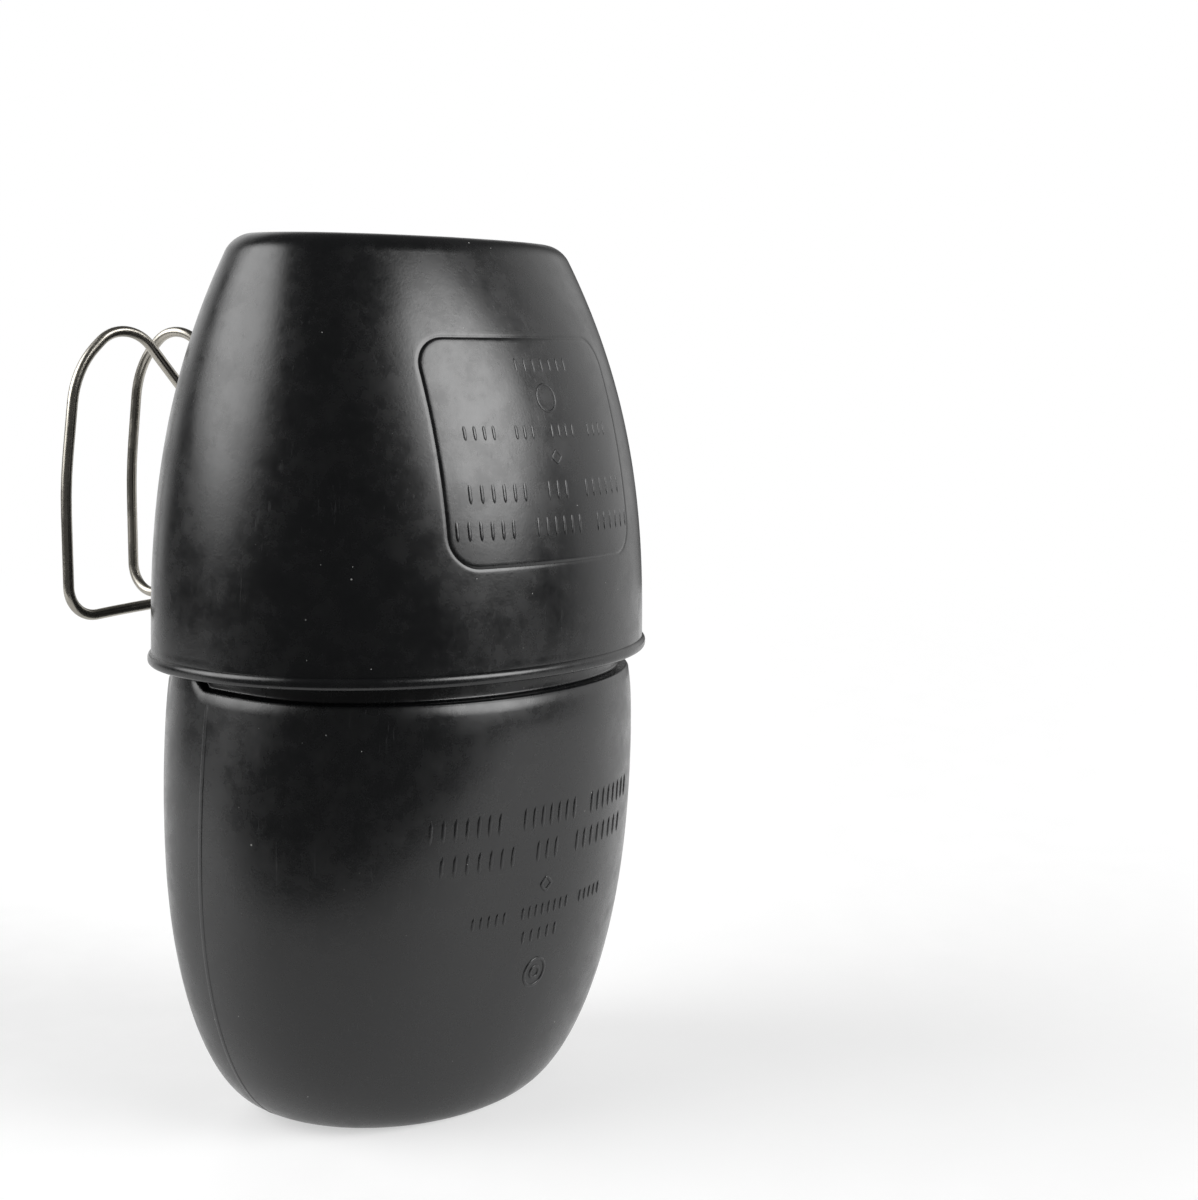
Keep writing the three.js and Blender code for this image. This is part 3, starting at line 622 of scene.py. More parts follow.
def bottle_rings():
    """Rings up the outside from the base, round the mouth and down the inside to the floor."""
    s = bpy.context.scene.canteen_bottle
    shoulder_start = s.ledge_height + s.upper_rise
    shoulder_top = CAP_LOW.z - s.neck_below_cap
    mouth = BOTTLE_HIGH.z
    ledge = body_section(s.ledge_height)
    upper = section(s.ledge_height, s.upper_half_width, s.upper_front, s.upper_back)
    lift = stop_lift(MUG_LOW.z - CLEARANCE - s.ledge_height)
    recess = 0.0006
    foot = [(0.02, recess), (0.4, recess), (0.74, recess), (0.78, recess * 0.8), (0.81, 0.0), (0.93, 0.0)]
    rings = [oval_ring(scaled(body_section(0.0), share, height)) for share, height in foot]
    steps = 84
    closer_below = 1.9  # rings stand closer together towards the base, where the wall turns fastest
    side_top = s.ledge_height - s.ledge_round
    lift_fade = 0.007
    for step in range(steps + 1):
        z = side_top * (step / steps) ** closer_below
        near_ledge = smooth((z - side_top + lift_fade) / lift_fade)
        rings.append(oval_ring(body_section(z), lift * near_ledge))
    for step in range(1, 7):
        turn = step / 6 * math.pi / 2
        drop = s.ledge_round * (1 - math.cos(turn))
        z = side_top + s.ledge_round * math.sin(turn)
        rings.append(oval_ring(inset(ledge, drop, z), lift))
    hollow = 0.0006
    for step in range(5):
        turn = step / 4 * math.pi / 2
        out = hollow * (1 - math.sin(turn))
        z = s.ledge_height + hollow * (1 - math.cos(turn))
        rings.append(oval_ring(inset(upper, -out, z), lift))
    lift_top = MUG_LOW.z + 0.003
    above_hollow = 0.0015
    for z in np.linspace(s.ledge_height + above_hollow, shoulder_start, 14):
        share = float(smooth((lift_top - z) / (lift_top - s.ledge_height - above_hollow)))
        rings.append(oval_ring(dict(upper, z=z), lift * share))
    fillet = 0.0012
    end_turn = math.acos(fillet / (s.upper_half_width - s.neck_radius))
    for step in range(1, 33):
        turn = end_turn * step / 32
        rings.append(oval_ring(shoulder_section(turn, shoulder_start, shoulder_top, s.neck_radius, 0)))
    neck = arc((s.neck_radius + fillet, shoulder_top + fillet), fillet, 255, 180, 4)
    neck += [(s.neck_radius, shoulder_top + 0.0014)]
    neck += [(s.neck_radius, shoulder_top + share * (mouth - shoulder_top)) for share in (0.3, 0.6, 0.9)]
    lip = 0.0006
    neck += arc((s.neck_radius - lip, mouth - lip), lip, 0, 90, 5)
    neck += arc((s.bore_radius + lip, mouth - lip), lip, 90, 180, 5)
    rings += [oval_ring(round_section(height, radius)) for radius, height in neck]
    low = shoulder_start - s.wall
    high = shoulder_top - s.wall
    for step in range(18, -1, -1):
        turn = step / 18 * math.pi / 2
        rings.append(oval_ring(shoulder_section(turn, low, high, s.bore_radius, s.wall)))
    inner_upper = inset(upper, s.wall, s.ledge_height - s.wall)
    rings.append(oval_ring(dict(inner_upper, z=s.ledge_height + 0.004)))
    rings.append(oval_ring(inner_upper))
    top = s.ledge_height - s.floor
    for step in range(26, -1, -1):
        z = s.floor + (top - s.floor) * (step / 26) ** closer_below
        shape_height = min((z - s.floor) * s.ledge_height / (s.ledge_height - s.floor), s.ledge_height)
        rings.append(oval_ring(inset(body_section(z, shape_height), s.wall, z)))
    rings.append(oval_ring(inset(body_section(s.floor, 0.0), s.base_half_width * 0.45, s.floor)))
    return rings


def thread(start, root, crest, pitch, turns, thickness, steps=96):
    """A rounded helical ridge whose ends run out into the wall."""
    turn = np.linspace(0, turns * FULL_TURN, int(steps * turns) + 1)
    runout = smooth(np.minimum(turn, turn[-1] - turn) / 0.5)
    rings = []
    for angle, share in zip(turn, runout):
        out = np.array([math.cos(angle), math.sin(angle), 0.0])
        middle = start + pitch * angle / FULL_TURN
        reach = root + (crest - root) * (0.12 + 0.88 * share)
        inner = root - math.copysign(0.0006, crest - root)
        outline = [
            (inner, -0.5), (root, -0.5), (reach * 0.5 + root * 0.5, -0.42), (reach, -0.22),
            (reach, 0.22), (reach * 0.5 + root * 0.5, 0.42), (root, 0.5), (inner, 0.5),
        ]
        if crest < root:
            outline.reverse()
        ring = [out * radius + [0, NECK_Y, middle + side * thickness] for radius, side in outline]
        rings.append(np.array(ring))
    return loft([ring[::-1] for ring in rings])


def end_line(heights, side, shape):
    """Line down one end of a shell, where the two halves of the mould met."""
    half, _, _ = shape(heights)
    path = np.stack([side * half, np.zeros(len(half)), heights], 1)
    tangent = along(path)
    normals = unit(np.cross(tangent, np.array([0.0, 1.0, 0.0])))
    normals *= np.sign(normals[:, :1] * side)
    return path, normals


def dash_row(parts, shape, groups, low, high, pitch, centre, width, height):
    """A row of plain upright dashes in groups, standing on the front surface."""
    gap = 1.6  # between groups, in pitches
    total = sum(groups) + gap * (len(groups) - 1)
    place = -total / 2 + 0.5
    for group in groups:
        for _ in range(group):
            z = np.linspace(low, high, 9)
            path, normals = front_points(shape, np.full(9, centre + place * pitch), z)
            parts.add(*bead(path, normals, width, height))
            place += 1
        place += gap


def ring_mark(parts, shape, x, z, radius, width, height):
    """A small plain raised ring."""
    turn = angles(48)
    path, normals = front_points(shape, x + radius * np.cos(turn), z + radius * np.sin(turn))
    parts.add(*bead(path, normals, width, height, closed=True))


def diamond_mark(parts, shape, x, z, size, width, height):
    """A small plain raised lozenge with its corners taken off."""
    turn = angles(48)
    reach = size / (np.abs(np.cos(turn)) + np.abs(np.sin(turn)))
    reach = np.minimum(reach, size * 0.9)
    path, normals = front_points(shape, x + reach * np.cos(turn), z + reach * np.sin(turn))
    parts.add(*bead(path, normals, width, height, closed=True))


class CANTEEN_OT_bottle(bpy.types.Operator):
    """Build the moulded bottle with its ledge, stops, neck thread and raised marks"""

    bl_idname = "canteen.bottle"
    bl_label = "Bottle"

    def execute(self, context):
        s = context.scene.canteen_bottle
        parts = Parts()
        parts.add(*loft(bottle_rings()))
        start = BOTTLE_HIGH.z - THREAD_DROP
        crest = s.neck_radius + THREAD_HEIGHT
        parts.add(*thread(start, s.neck_radius, crest, THREAD_PITCH, THREAD_TURNS, thickness=0.0017))
        for side in (-1, 1):
            heights = np.linspace(0.0006, s.ledge_height - 0.0012, 90)
            path, normals = end_line(heights, side, bottle_outline)
            parts.add(*bead(path, normals, s.line_width, s.line_height))
        self.add_marks(parts, s)
        colours = context.scene.canteen_finish
        material = moulded_plastic(
            "bottle_plastic", colours.bottle, roughness=0.27, scuffed=0.4, dusted=0.16
        )
        make_piece("bottle_shell", parts, material, "bottle", "bottle_plastic", "bottle_body")
        return {"FINISHED"}

    def add_marks(self, parts, s):
        """Plain rows of dashes, a lozenge and two rings down the front."""
        high = s.mark_height
        wide = 0.0010
        dash_row(parts, bottle_outline, (7, 7, 8), 0.0725, 0.0780, 0.00276, 0.0008, wide, high)
        dash_row(parts, bottle_outline, (7, 3, 8), 0.0643, 0.0696, 0.00300, 0.0006, wide, high)
        diamond_mark(parts, bottle_outline, 0.0, 0.0585, 0.0018, 0.0008, high)
        dash_row(parts, bottle_outline, (5, 8, 5), 0.0507, 0.0540, 0.00215, 0.001, 0.0008, high)
        dash_row(parts, bottle_outline, (5,), 0.0446, 0.0480, 0.0027, 0.0, 0.0008, high)
        ring_mark(parts, bottle_outline, 0.0005, 0.0365, 0.0034, 0.0008, high)
        ring_mark(parts, bottle_outline, 0.0005, 0.0365, 0.0014, 0.0008, high)


# ---------------------------------------------------------------------------
# Mug
# ---------------------------------------------------------------------------

def mug_outline(z):
    """Half width, front depth and front roundness of the mug's wall at heights z."""
    s = bpy.context.scene.canteen_mug
    rim_half = MUG_HIGH.x - s.lip_proud
    rim_front = -MUG_LOW.y - s.lip_proud
    share = (np.asarray(z) - MUG_LOW.z) / (MUG_HIGH.z - s.end_round - MUG_LOW.z)
    share = np.clip(share, 0, 1)
    half = rim_half * (1 - (1 - s.end_width_share) * share**s.width_fullness)
    front = rim_front * (1 - (1 - s.end_depth_share) * share**s.depth_fullness)
    return half, front, bpy.context.scene.canteen_oval.front_roundness


def mug_section(z):
    half, front, _ = mug_outline(z)
    return wall_section(z, half, front)


def mug_inside(z):
    """Inner face of the wall, set in further where the wall slopes, so that it keeps its thickness."""
    s = bpy.context.scene.canteen_mug
    inner = mug_section(z)
    step = 0.0005
    above = min(z + step, MUG_HIGH.z - s.end_round)
    upper, lower = mug_section(above), mug_section(above - step)
    for key in OVAL_SIZES:
        slope = (lower[key] - upper[key]) / step
        inner[key] -= s.wall * math.hypot(1, slope)
    return inner


def mug_rings():
    """Rings from the ceiling down the inside, round the lip and up to the start of the outer wall."""
    s = bpy.context.scene.canteen_mug
    b = bpy.context.scene.canteen_bottle
    rim = MUG_LOW.z
    wall_top = MUG_HIGH.z - s.end_round
    ceiling = MUG_HIGH.z - s.end_thickness
    top_inside = mug_inside(wall_top)
    rings = [oval_ring(scaled(top_inside, share, ceiling, less=0.0036)) for share in (0.03, 0.5, 0.85)]
    inner_round = 0.0034
    for turn in np.radians(np.linspace(90, 0, 7)):
        drop = inner_round * (1 - math.cos(turn)) + 0.0002
        rings.append(oval_ring(inset(top_inside, drop, ceiling - inner_round * (1 - math.sin(turn)))))
    guide_top = rim + s.lip_height
    wall_start = guide_top + s.guide_taper
    for z in np.linspace(wall_top - 0.0045, wall_start, 40):
        rings.append(oval_ring(mug_inside(z)))
    guide = section(rim, *(size + s.guide_gap for size in (b.upper_half_width, b.upper_front, b.upper_back)))
    rings.append(oval_ring(dict(guide, z=guide_top)))
    inner_edge, lower_edge, upper_edge = 0.0007, 0.0011, 0.0014
    for outward, height in arc((inner_edge, rim + inner_edge), inner_edge, 180, 270, 4):
        rings.append(oval_ring(inset(guide, -outward, height)))
    edge = mug_section(rim)
    proud = s.lip_proud
    for outward, height in arc((proud - lower_edge, rim + lower_edge), lower_edge, 270, 360, 6):
        rings.append(oval_ring(inset(edge, -outward, height)))
    for outward, height in arc((proud - upper_edge, guide_top - upper_edge), upper_edge, 0, 64, 6):
        rings.append(oval_ring(inset(mug_section(height), -outward, height)))
    hollow = mug_section(guide_top + 0.0007)
    rings.append(oval_ring(inset(hollow, -0.00004, guide_top + 0.0005)))
    return rings


def panel_distance(x, z):
    """Signed distance from the panel's outline: a rectangle with round corners, negative inside."""
    s = bpy.context.scene.canteen_mug
    middle = MUG_LOW.z + (s.panel_low + s.panel_high) / 2
    half_height = (s.panel_high - s.panel_low) / 2
    dx = np.abs(x) - (s.panel_half_width - s.panel_corner)
    dz = np.abs(z - middle) - (half_height - s.panel_corner)
    outside = np.hypot(np.maximum(dx, 0), np.maximum(dz, 0))
    return outside + np.minimum(np.maximum(dx, dz), 0) - s.panel_corner


def panel_profile(distance):
    """Height of the surface across the panel's outline: a narrow line, then a slightly raised panel."""
    s = bpy.context.scene.canteen_mug
    line = -s.groove_depth * np.exp(-((distance / (s.groove_width * 0.42)) ** 2))
    return line + s.panel_raise * smooth(-distance / s.groove_width)


def panel_block(boundary, first_index, loop):
    """Loops from the wall's grid in to the panel's middle, close together at the panel's outline.

    boundary holds the grid points (x, z) round the opening and loop their point numbers.
    """
    s = bpy.context.scene.canteen_mug
    centre = np.array([0.0, MUG_LOW.z + (s.panel_low + s.panel_high) / 2])
    low, high = np.zeros(len(boundary)), np.ones(len(boundary))
    for _ in range(40):  # halving finds where each ray crosses the outline
        middle = (low + high) / 2
        spot = centre + (boundary - centre) * middle[:, None]
        inside = panel_distance(spot[:, 0], spot[:, 1]) < 0
        low, high = np.where(inside, middle, low), np.where(inside, high, middle)
    outline = centre + (boundary - centre) * low[:, None]
    step = 1e-5
    grown_x = panel_distance(outline[:, 0] + step, outline[:, 1])
    grown_z = panel_distance(outline[:, 0], outline[:, 1] + step)
    here = panel_distance(outline[:, 0], outline[:, 1])
    out = unit(np.stack([grown_x - here, grown_z - here], 1))
    offsets = s.groove_width * np.array([1.6, 1.0, 0.62, 0.4, 0.2, 0.0, -0.2, -0.4, -0.62, -1.0, -1.6])
    loops = []
    first_line = outline + out * offsets[0]
    for share in (0.35, 0.7):
        loops.append(boundary + (first_line - boundary) * share)
    loops += [outline + out * offset for offset in offsets]
    last_line = loops[-1]
    for share in np.linspace(0.93, 0.06, 16):
        loops.append(centre + (last_line - centre) * share)
    points, faces = [], []
    count = len(boundary)
    previous = list(loop)
    for row, spots in enumerate(loops):
        place, normals = front_points(mug_outline, spots[:, 0], spots[:, 1])
        rise = panel_profile(panel_distance(spots[:, 0], spots[:, 1]))
        points.append(place + normals * rise[:, None])
        current = [first_index + row * count + side for side in range(count)]
        for side in range(count):
            after = (side + 1) % count
            faces.append((previous[side], previous[after], current[after], current[side]))
        previous = current
    place, normals = front_points(mug_outline, [centre[0]], [centre[1]])
    points.append(place + normals * panel_profile(panel_distance(*centre)))
    hub = first_index + len(loops) * count
    faces += [(previous[side], previous[(side + 1) % count], hub) for side in range(count)]
    return np.concatenate(points), faces


def mug_shell():
    """The whole mug as one closed body, with the panel's block let into the front of its wall."""
    s = bpy.context.scene.canteen_mug
    end = MUG_HIGH.z
    inner = mug_rings()
    wall_low = MUG_LOW.z + s.lip_height + 0.0012
    wall_top = end - s.end_round
    heights = np.linspace(wall_low, wall_top, 111)
    wall = [oval_ring(mug_section(z)) for z in heights]
    over = []
    last = mug_section(wall_top)
    lean = 0.46  # carries the wall's slope on into the rounding, so that no crease shows
    for turn in np.radians(np.linspace(10, 90, 9)):
        drop = s.end_round * (1 - math.cos(turn) + lean * math.sin(turn))
        over.append(oval_ring(inset(last, drop, wall_top + s.end_round * math.sin(turn))))
    edge = inset(last, 1.46 * s.end_round, end)
    foot = 0.0035
    sunk = 0.0004
    for amount, drop in ((foot, 0.0), (foot + 0.0004, 0.00025), (foot + 0.0008, sunk)):
        over.append(oval_ring(inset(edge, amount, end - drop)))
    over += [oval_ring(scaled(edge, share, end - sunk, less=foot)) for share in (0.8, 0.4, 0.03)]
    points, faces = loft(inner + wall + over)

    # The opening for the panel's block: its columns and rows of the wall's grid.
    turn = angles(AROUND)
    reach = s.panel_half_width + 0.0035
    half_way = wall[60]
    columns = [side for side in range(AROUND) if turn[side] > math.pi and abs(half_way[side, 0]) < reach]
    margin = 0.004
    lowest, highest = s.panel_low - margin, s.panel_high + margin
    rows = [len(inner) + i for i, z in enumerate(heights) if lowest < z - MUG_LOW.z < highest]
    taken = {
        row * AROUND + side
        for row in range(rows[0], rows[-1])
        for side in range(columns[0], columns[-1])
    }
    faces = [face for face in faces if not (len(face) == 4 and face[0] in taken)]
    loop = [rows[0] * AROUND + side for side in columns[:-1]]
    loop += [row * AROUND + columns[-1] for row in rows[:-1]]
    loop += [rows[-1] * AROUND + side for side in columns[:0:-1]]
    loop += [row * AROUND + columns[0] for row in rows[:0:-1]]
    boundary = points[loop][:, [0, 2]]
    block, block_faces = panel_block(boundary, len(points), loop)
    return without_spare(np.vstack([points, block]), faces + block_faces)


def without_spare(points, faces):
    """Drops points that no face uses."""
    used = sorted({index for face in faces for index in face})
    renumber = {old: new for new, old in enumerate(used)}
    return points[used], [tuple(renumber[index] for index in face) for face in faces]


def rounded_outline(half_width, half_height, corner, steps=8):
    """Points (x, z) of a rectangle with round corners about the origin, counter-clockwise."""
    points = []
    for quarter, (sx, sz) in enumerate(((1, 1), (-1, 1), (-1, -1), (1, -1))):
        centre = (sx * (half_width - corner), sz * (half_height - corner))
        points += arc(centre, corner, 90 * quarter, 90 * quarter + 90, steps)
    return np.array(points)


def standing_plate(outline, middle, back_y, face_y, bevel):
    """Plate in the XZ plane with bevelled edges; outline is (x, z) about the middle height."""
    away = unit(outline)
    rows = [(bevel, back_y), (0.0, back_y + bevel), (0.0, face_y - bevel)]
    rows += [(bevel * 0.3, face_y - bevel * 0.3), (bevel, face_y)]
    rings = []
    for shrink, y in rows:
        spots = outline - away * shrink
        rings.append(np.stack([spots[:, 0], np.full(len(spots), y), spots[:, 1] + middle], 1))
    return loft([ring[::-1] for ring in rings])


class CANTEEN_OT_mug(bpy.types.Operator):
    """Build the drinking mug with its lip, marked panel and the pad for the handle bracket"""

    bl_idname = "canteen.mug"
    bl_label = "Mug"

    def execute(self, context):
        s = context.scene.canteen_mug
        parts = Parts()
        parts.add(*mug_shell())
        self.add_pad(parts, context)
        self.add_marks(parts, s)
        colours = context.scene.canteen_finish
        material = moulded_plastic("mug_plastic", colours.mug, roughness=0.245, scuffed=0.4, dusted=0.2)
        make_piece("mug_shell", parts, material, "mug", "mug_plastic", "mug_body")
        return {"FINISHED"}

    def add_pad(self, parts, context):
        """Flat pad that the bracket is riveted to, from inside the wall out to the bracket."""
        s = context.scene.canteen_mug
        face_y = BRACKET_LOW.y - CLEARANCE
        half_width = (BRACKET_HIGH.x - BRACKET_LOW.x) / 2 + s.pad_margin
        half_height = (BRACKET_HIGH.z - BRACKET_LOW.z) / 2 + s.pad_margin
        middle = (BRACKET_HIGH.z + BRACKET_LOW.z) / 2
        inner = mug_inside(middle + half_height)["back"] + 0.0003
        outline = rounded_outline(half_width, half_height, 0.005)
        parts.add(*standing_plate(outline, middle, inner, face_y, 0.0005))

    def add_marks(self, parts, s):
        """Plain rows of dashes, a ring and a lozenge down the panel."""
        high = s.mark_height
        rim = MUG_LOW.z
        dash_row(parts, mug_outline, (7,), rim + 0.0673, rim + 0.0708, 0.0028, 0.0032, 0.0008, high)
        ring_mark(parts, mug_outline, 0.0022, rim + 0.0617, 0.0030, 0.0007, high)
        dash_row(parts, mug_outline, (4, 3, 4, 4), rim + 0.0526, rim + 0.0562, 0.00245, 0.0, 0.0009, high)
        diamond_mark(parts, mug_outline, 0.0021, rim + 0.0487, 0.0016, 0.0007, high)
        dash_row(parts, mug_outline, (6, 3, 6), rim + 0.0390, rim + 0.0438, 0.0029, 0.001, 0.0010, high)
        dash_row(parts, mug_outline, (6, 6, 6), rim + 0.0310, rim + 0.0360, 0.0028, 0.0005, 0.0010, high)


# ---------------------------------------------------------------------------
# Cap, seal, strap and stud
# ---------------------------------------------------------------------------

class CANTEEN_OT_cap(bpy.types.Operator):
    """Build the ribbed screw cap and the flat seal inside it"""

    bl_idname = "canteen.cap"
    bl_label = "Cap and seal"

    def execute(self, context):
        s = context.scene.canteen_cap
        low, high = CAP_LOW.z, CAP_HIGH.z
        radius = (CAP_HIGH.x - CAP_LOW.x) / 2 - s.rib_depth
        inner_top = high - s.top
        socket_floor = STUD_LOW.z - CLEARANCE
        profile = [(0.0006, inner_top), (s.thread_root - 0.001, inner_top)]
        profile += arc((s.thread_root - 0.0008, inner_top - 0.0008), 0.0008, 90, 0, 3)
        profile += [(s.thread_root, inner_top - 0.004), (s.thread_root, low + 0.004)]
        profile += arc((s.thread_root + 0.0006, low + 0.0006), 0.0006, 180, 270, 4)
        profile += arc((radius - 0.0006, low + 0.0006), 0.0006, 270, 360, 4)
        profile += [(radius, height) for height in np.linspace(low + 0.0009, high - 0.0017, 24)]
        profile += arc((radius - 0.0016, high - 0.0016), 0.0016, 4, 90, 8)
        profile += [(radius - 0.0040, high), (radius - 0.0043, high - 0.0002)]
        profile += [(radius - 0.0049, high - 0.0002), (radius - 0.0052, high)]
        profile += [(s.socket_radius + 0.0004, high), (s.socket_radius, high - 0.0004)]
        profile += [(s.socket_radius, socket_floor), (0.0002, socket_floor)]

        def ribs(turn, height):
            """How far the grip ribs reach out at each turn, faded out at both ends."""
            faded = smooth((height - low - 0.0014) / 0.0010) * smooth((high - 0.0012 - height) / 0.0014)
            wave = (0.5 + 0.5 * np.cos(turn * s.ribs)) ** 3
            return s.rib_depth * wave * float(faded)

        rings = []
        for spot_radius, height in profile:
            on_side = spot_radius > radius - 0.0017 and low + 0.0008 < height < high
            reach = ribs if on_side else None
            rings += turned([(spot_radius, height)], 320, (0, NECK_Y), reach)
        parts = Parts()
        parts.add(*loft(rings))
        start = BOTTLE_HIGH.z - THREAD_DROP - s.thread_pitch / 2
        crest = s.thread_root - THREAD_HEIGHT
        parts.add(*thread(start, s.thread_root, crest, s.thread_pitch, THREAD_TURNS, thickness=0.0016))
        colours = context.scene.canteen_finish
        material = moulded_plastic("cap_plastic", colours.cap, roughness=0.42, scuffed=0.5, dusted=0.1)
        make_piece("cap_shell", parts, material, "cap", "cap_plastic", "screw_cap")
        self.add_seal(context)
        return {"FINISHED"}

    def add_seal(self, context):
        outer = (SEAL_HIGH.x - SEAL_LOW.x) / 2
        inner = context.scene.canteen_bottle.bore_radius - 0.0024
        profile = ring_profile(inner, outer, SEAL_LOW.z, SEAL_HIGH.z, 0.0003, 3)
        parts = Parts()
        parts.add(*loft(turned(profile, 128, (0, NECK_Y)), closed=True))
        material = dull_rubber("seal_rubber", context.scene.canteen_finish.seal)
        make_piece("seal_ring", parts, material, "cap", "seal_rubber", "cap_seal")


def band_outline(width, thickness):
    return rounded_outline(width / 2, thickness / 2, thickness * 0.42, 4)


class CANTEEN_OT_strap(bpy.types.Operator):
    """Build the flexible strap that keeps the cap on the bottle, and its stud"""

    bl_idname = "canteen.strap"
    bl_label = "Strap and stud"

    def execute(self, context):
        s = context.scene.canteen_strap
        neck_radius = context.scene.canteen_bottle.neck_radius
        parts = Parts()
        ring_outer = NECK_Y - STRAP_LOW.y
        ring_inner = neck_radius + 0.0005
        disc_low = STRAP_HIGH.z - s.thickness
        parts.add(*self.flat_ring(ring_inner, ring_outer, STRAP_LOW.z, s.thickness))
        parts.add(*self.flat_ring(s.eye_radius, s.disc_radius, disc_low, s.thickness))
        parts.add(*self.band(s, ring_outer))
        colours = context.scene.canteen_finish
        material = moulded_plastic("strap_plastic", colours.strap, roughness=0.52, scuffed=0.6, dusted=0.1)
        make_piece("strap_moulding", parts, material, "strap", "strap_plastic", "cap_strap")
        self.add_stud(context)
        return {"FINISHED"}

    def flat_ring(self, inner, outer, low, thickness):
        profile = ring_profile(inner, outer, low, low + thickness, thickness * 0.38, 4)
        return loft(turned(profile, 160, (0, NECK_Y)), closed=True)

    def band(self, s, ring_outer):
        """Out of the ring, up beside the cap and in over its top, all at the strap's mid thickness."""
        half = s.thickness / 2
        outer_x = STRAP_HIGH.x - half
        low = STRAP_LOW.z + half
        high = STRAP_HIGH.z - half
        bend = s.bend - half
        route = [(ring_outer - 0.0015, low)]
        route += arc((outer_x - bend, low + bend), bend, 270, 360, 8)
        route += [(outer_x, low + (high - low) * share) for share in (0.25, 0.5, 0.75)]
        route += arc((outer_x - bend, high - bend), bend, 0, 90, 8)
        route += [(x, high) for x in (0.016, 0.011, s.disc_radius - 0.001)]
        path = np.array([(x, NECK_Y, z) for x, z in route])
        return swept(path, band_outline(s.width, s.thickness * 0.98), (0, 1, 0))

    def add_stud(self, context):
        low, high = STUD_LOW.z, STUD_HIGH.z
        head = (STUD_HIGH.x - STUD_LOW.x) / 2
        shank = 0.0018
        under = high - 0.0012
        profile = [(0.0002, low)] + arc((shank - 0.0003, low + 0.0003), 0.0003, 270, 360, 3)
        profile += [(shank, under), (head - 0.0002, under)]
        profile += arc((head - 0.0002, under + 0.0002), 0.0002, 270, 360, 2)
        profile += dome_profile(head, under + 0.0002, 0.001, np.linspace(0.1, 1.45, 10))
        parts = Parts()
        parts.add(*loft(turned(profile, 96, (0, NECK_Y))))
        colours = context.scene.canteen_finish
        material = moulded_plastic("stud_plastic", colours.cap, roughness=0.4, scuffed=0.4, dusted=0.1)
        make_piece("strap_stud_head", parts, material, "strap", "cap_plastic", "strap_stud")


# ---------------------------------------------------------------------------
# Bracket, rivets and washers
# ---------------------------------------------------------------------------

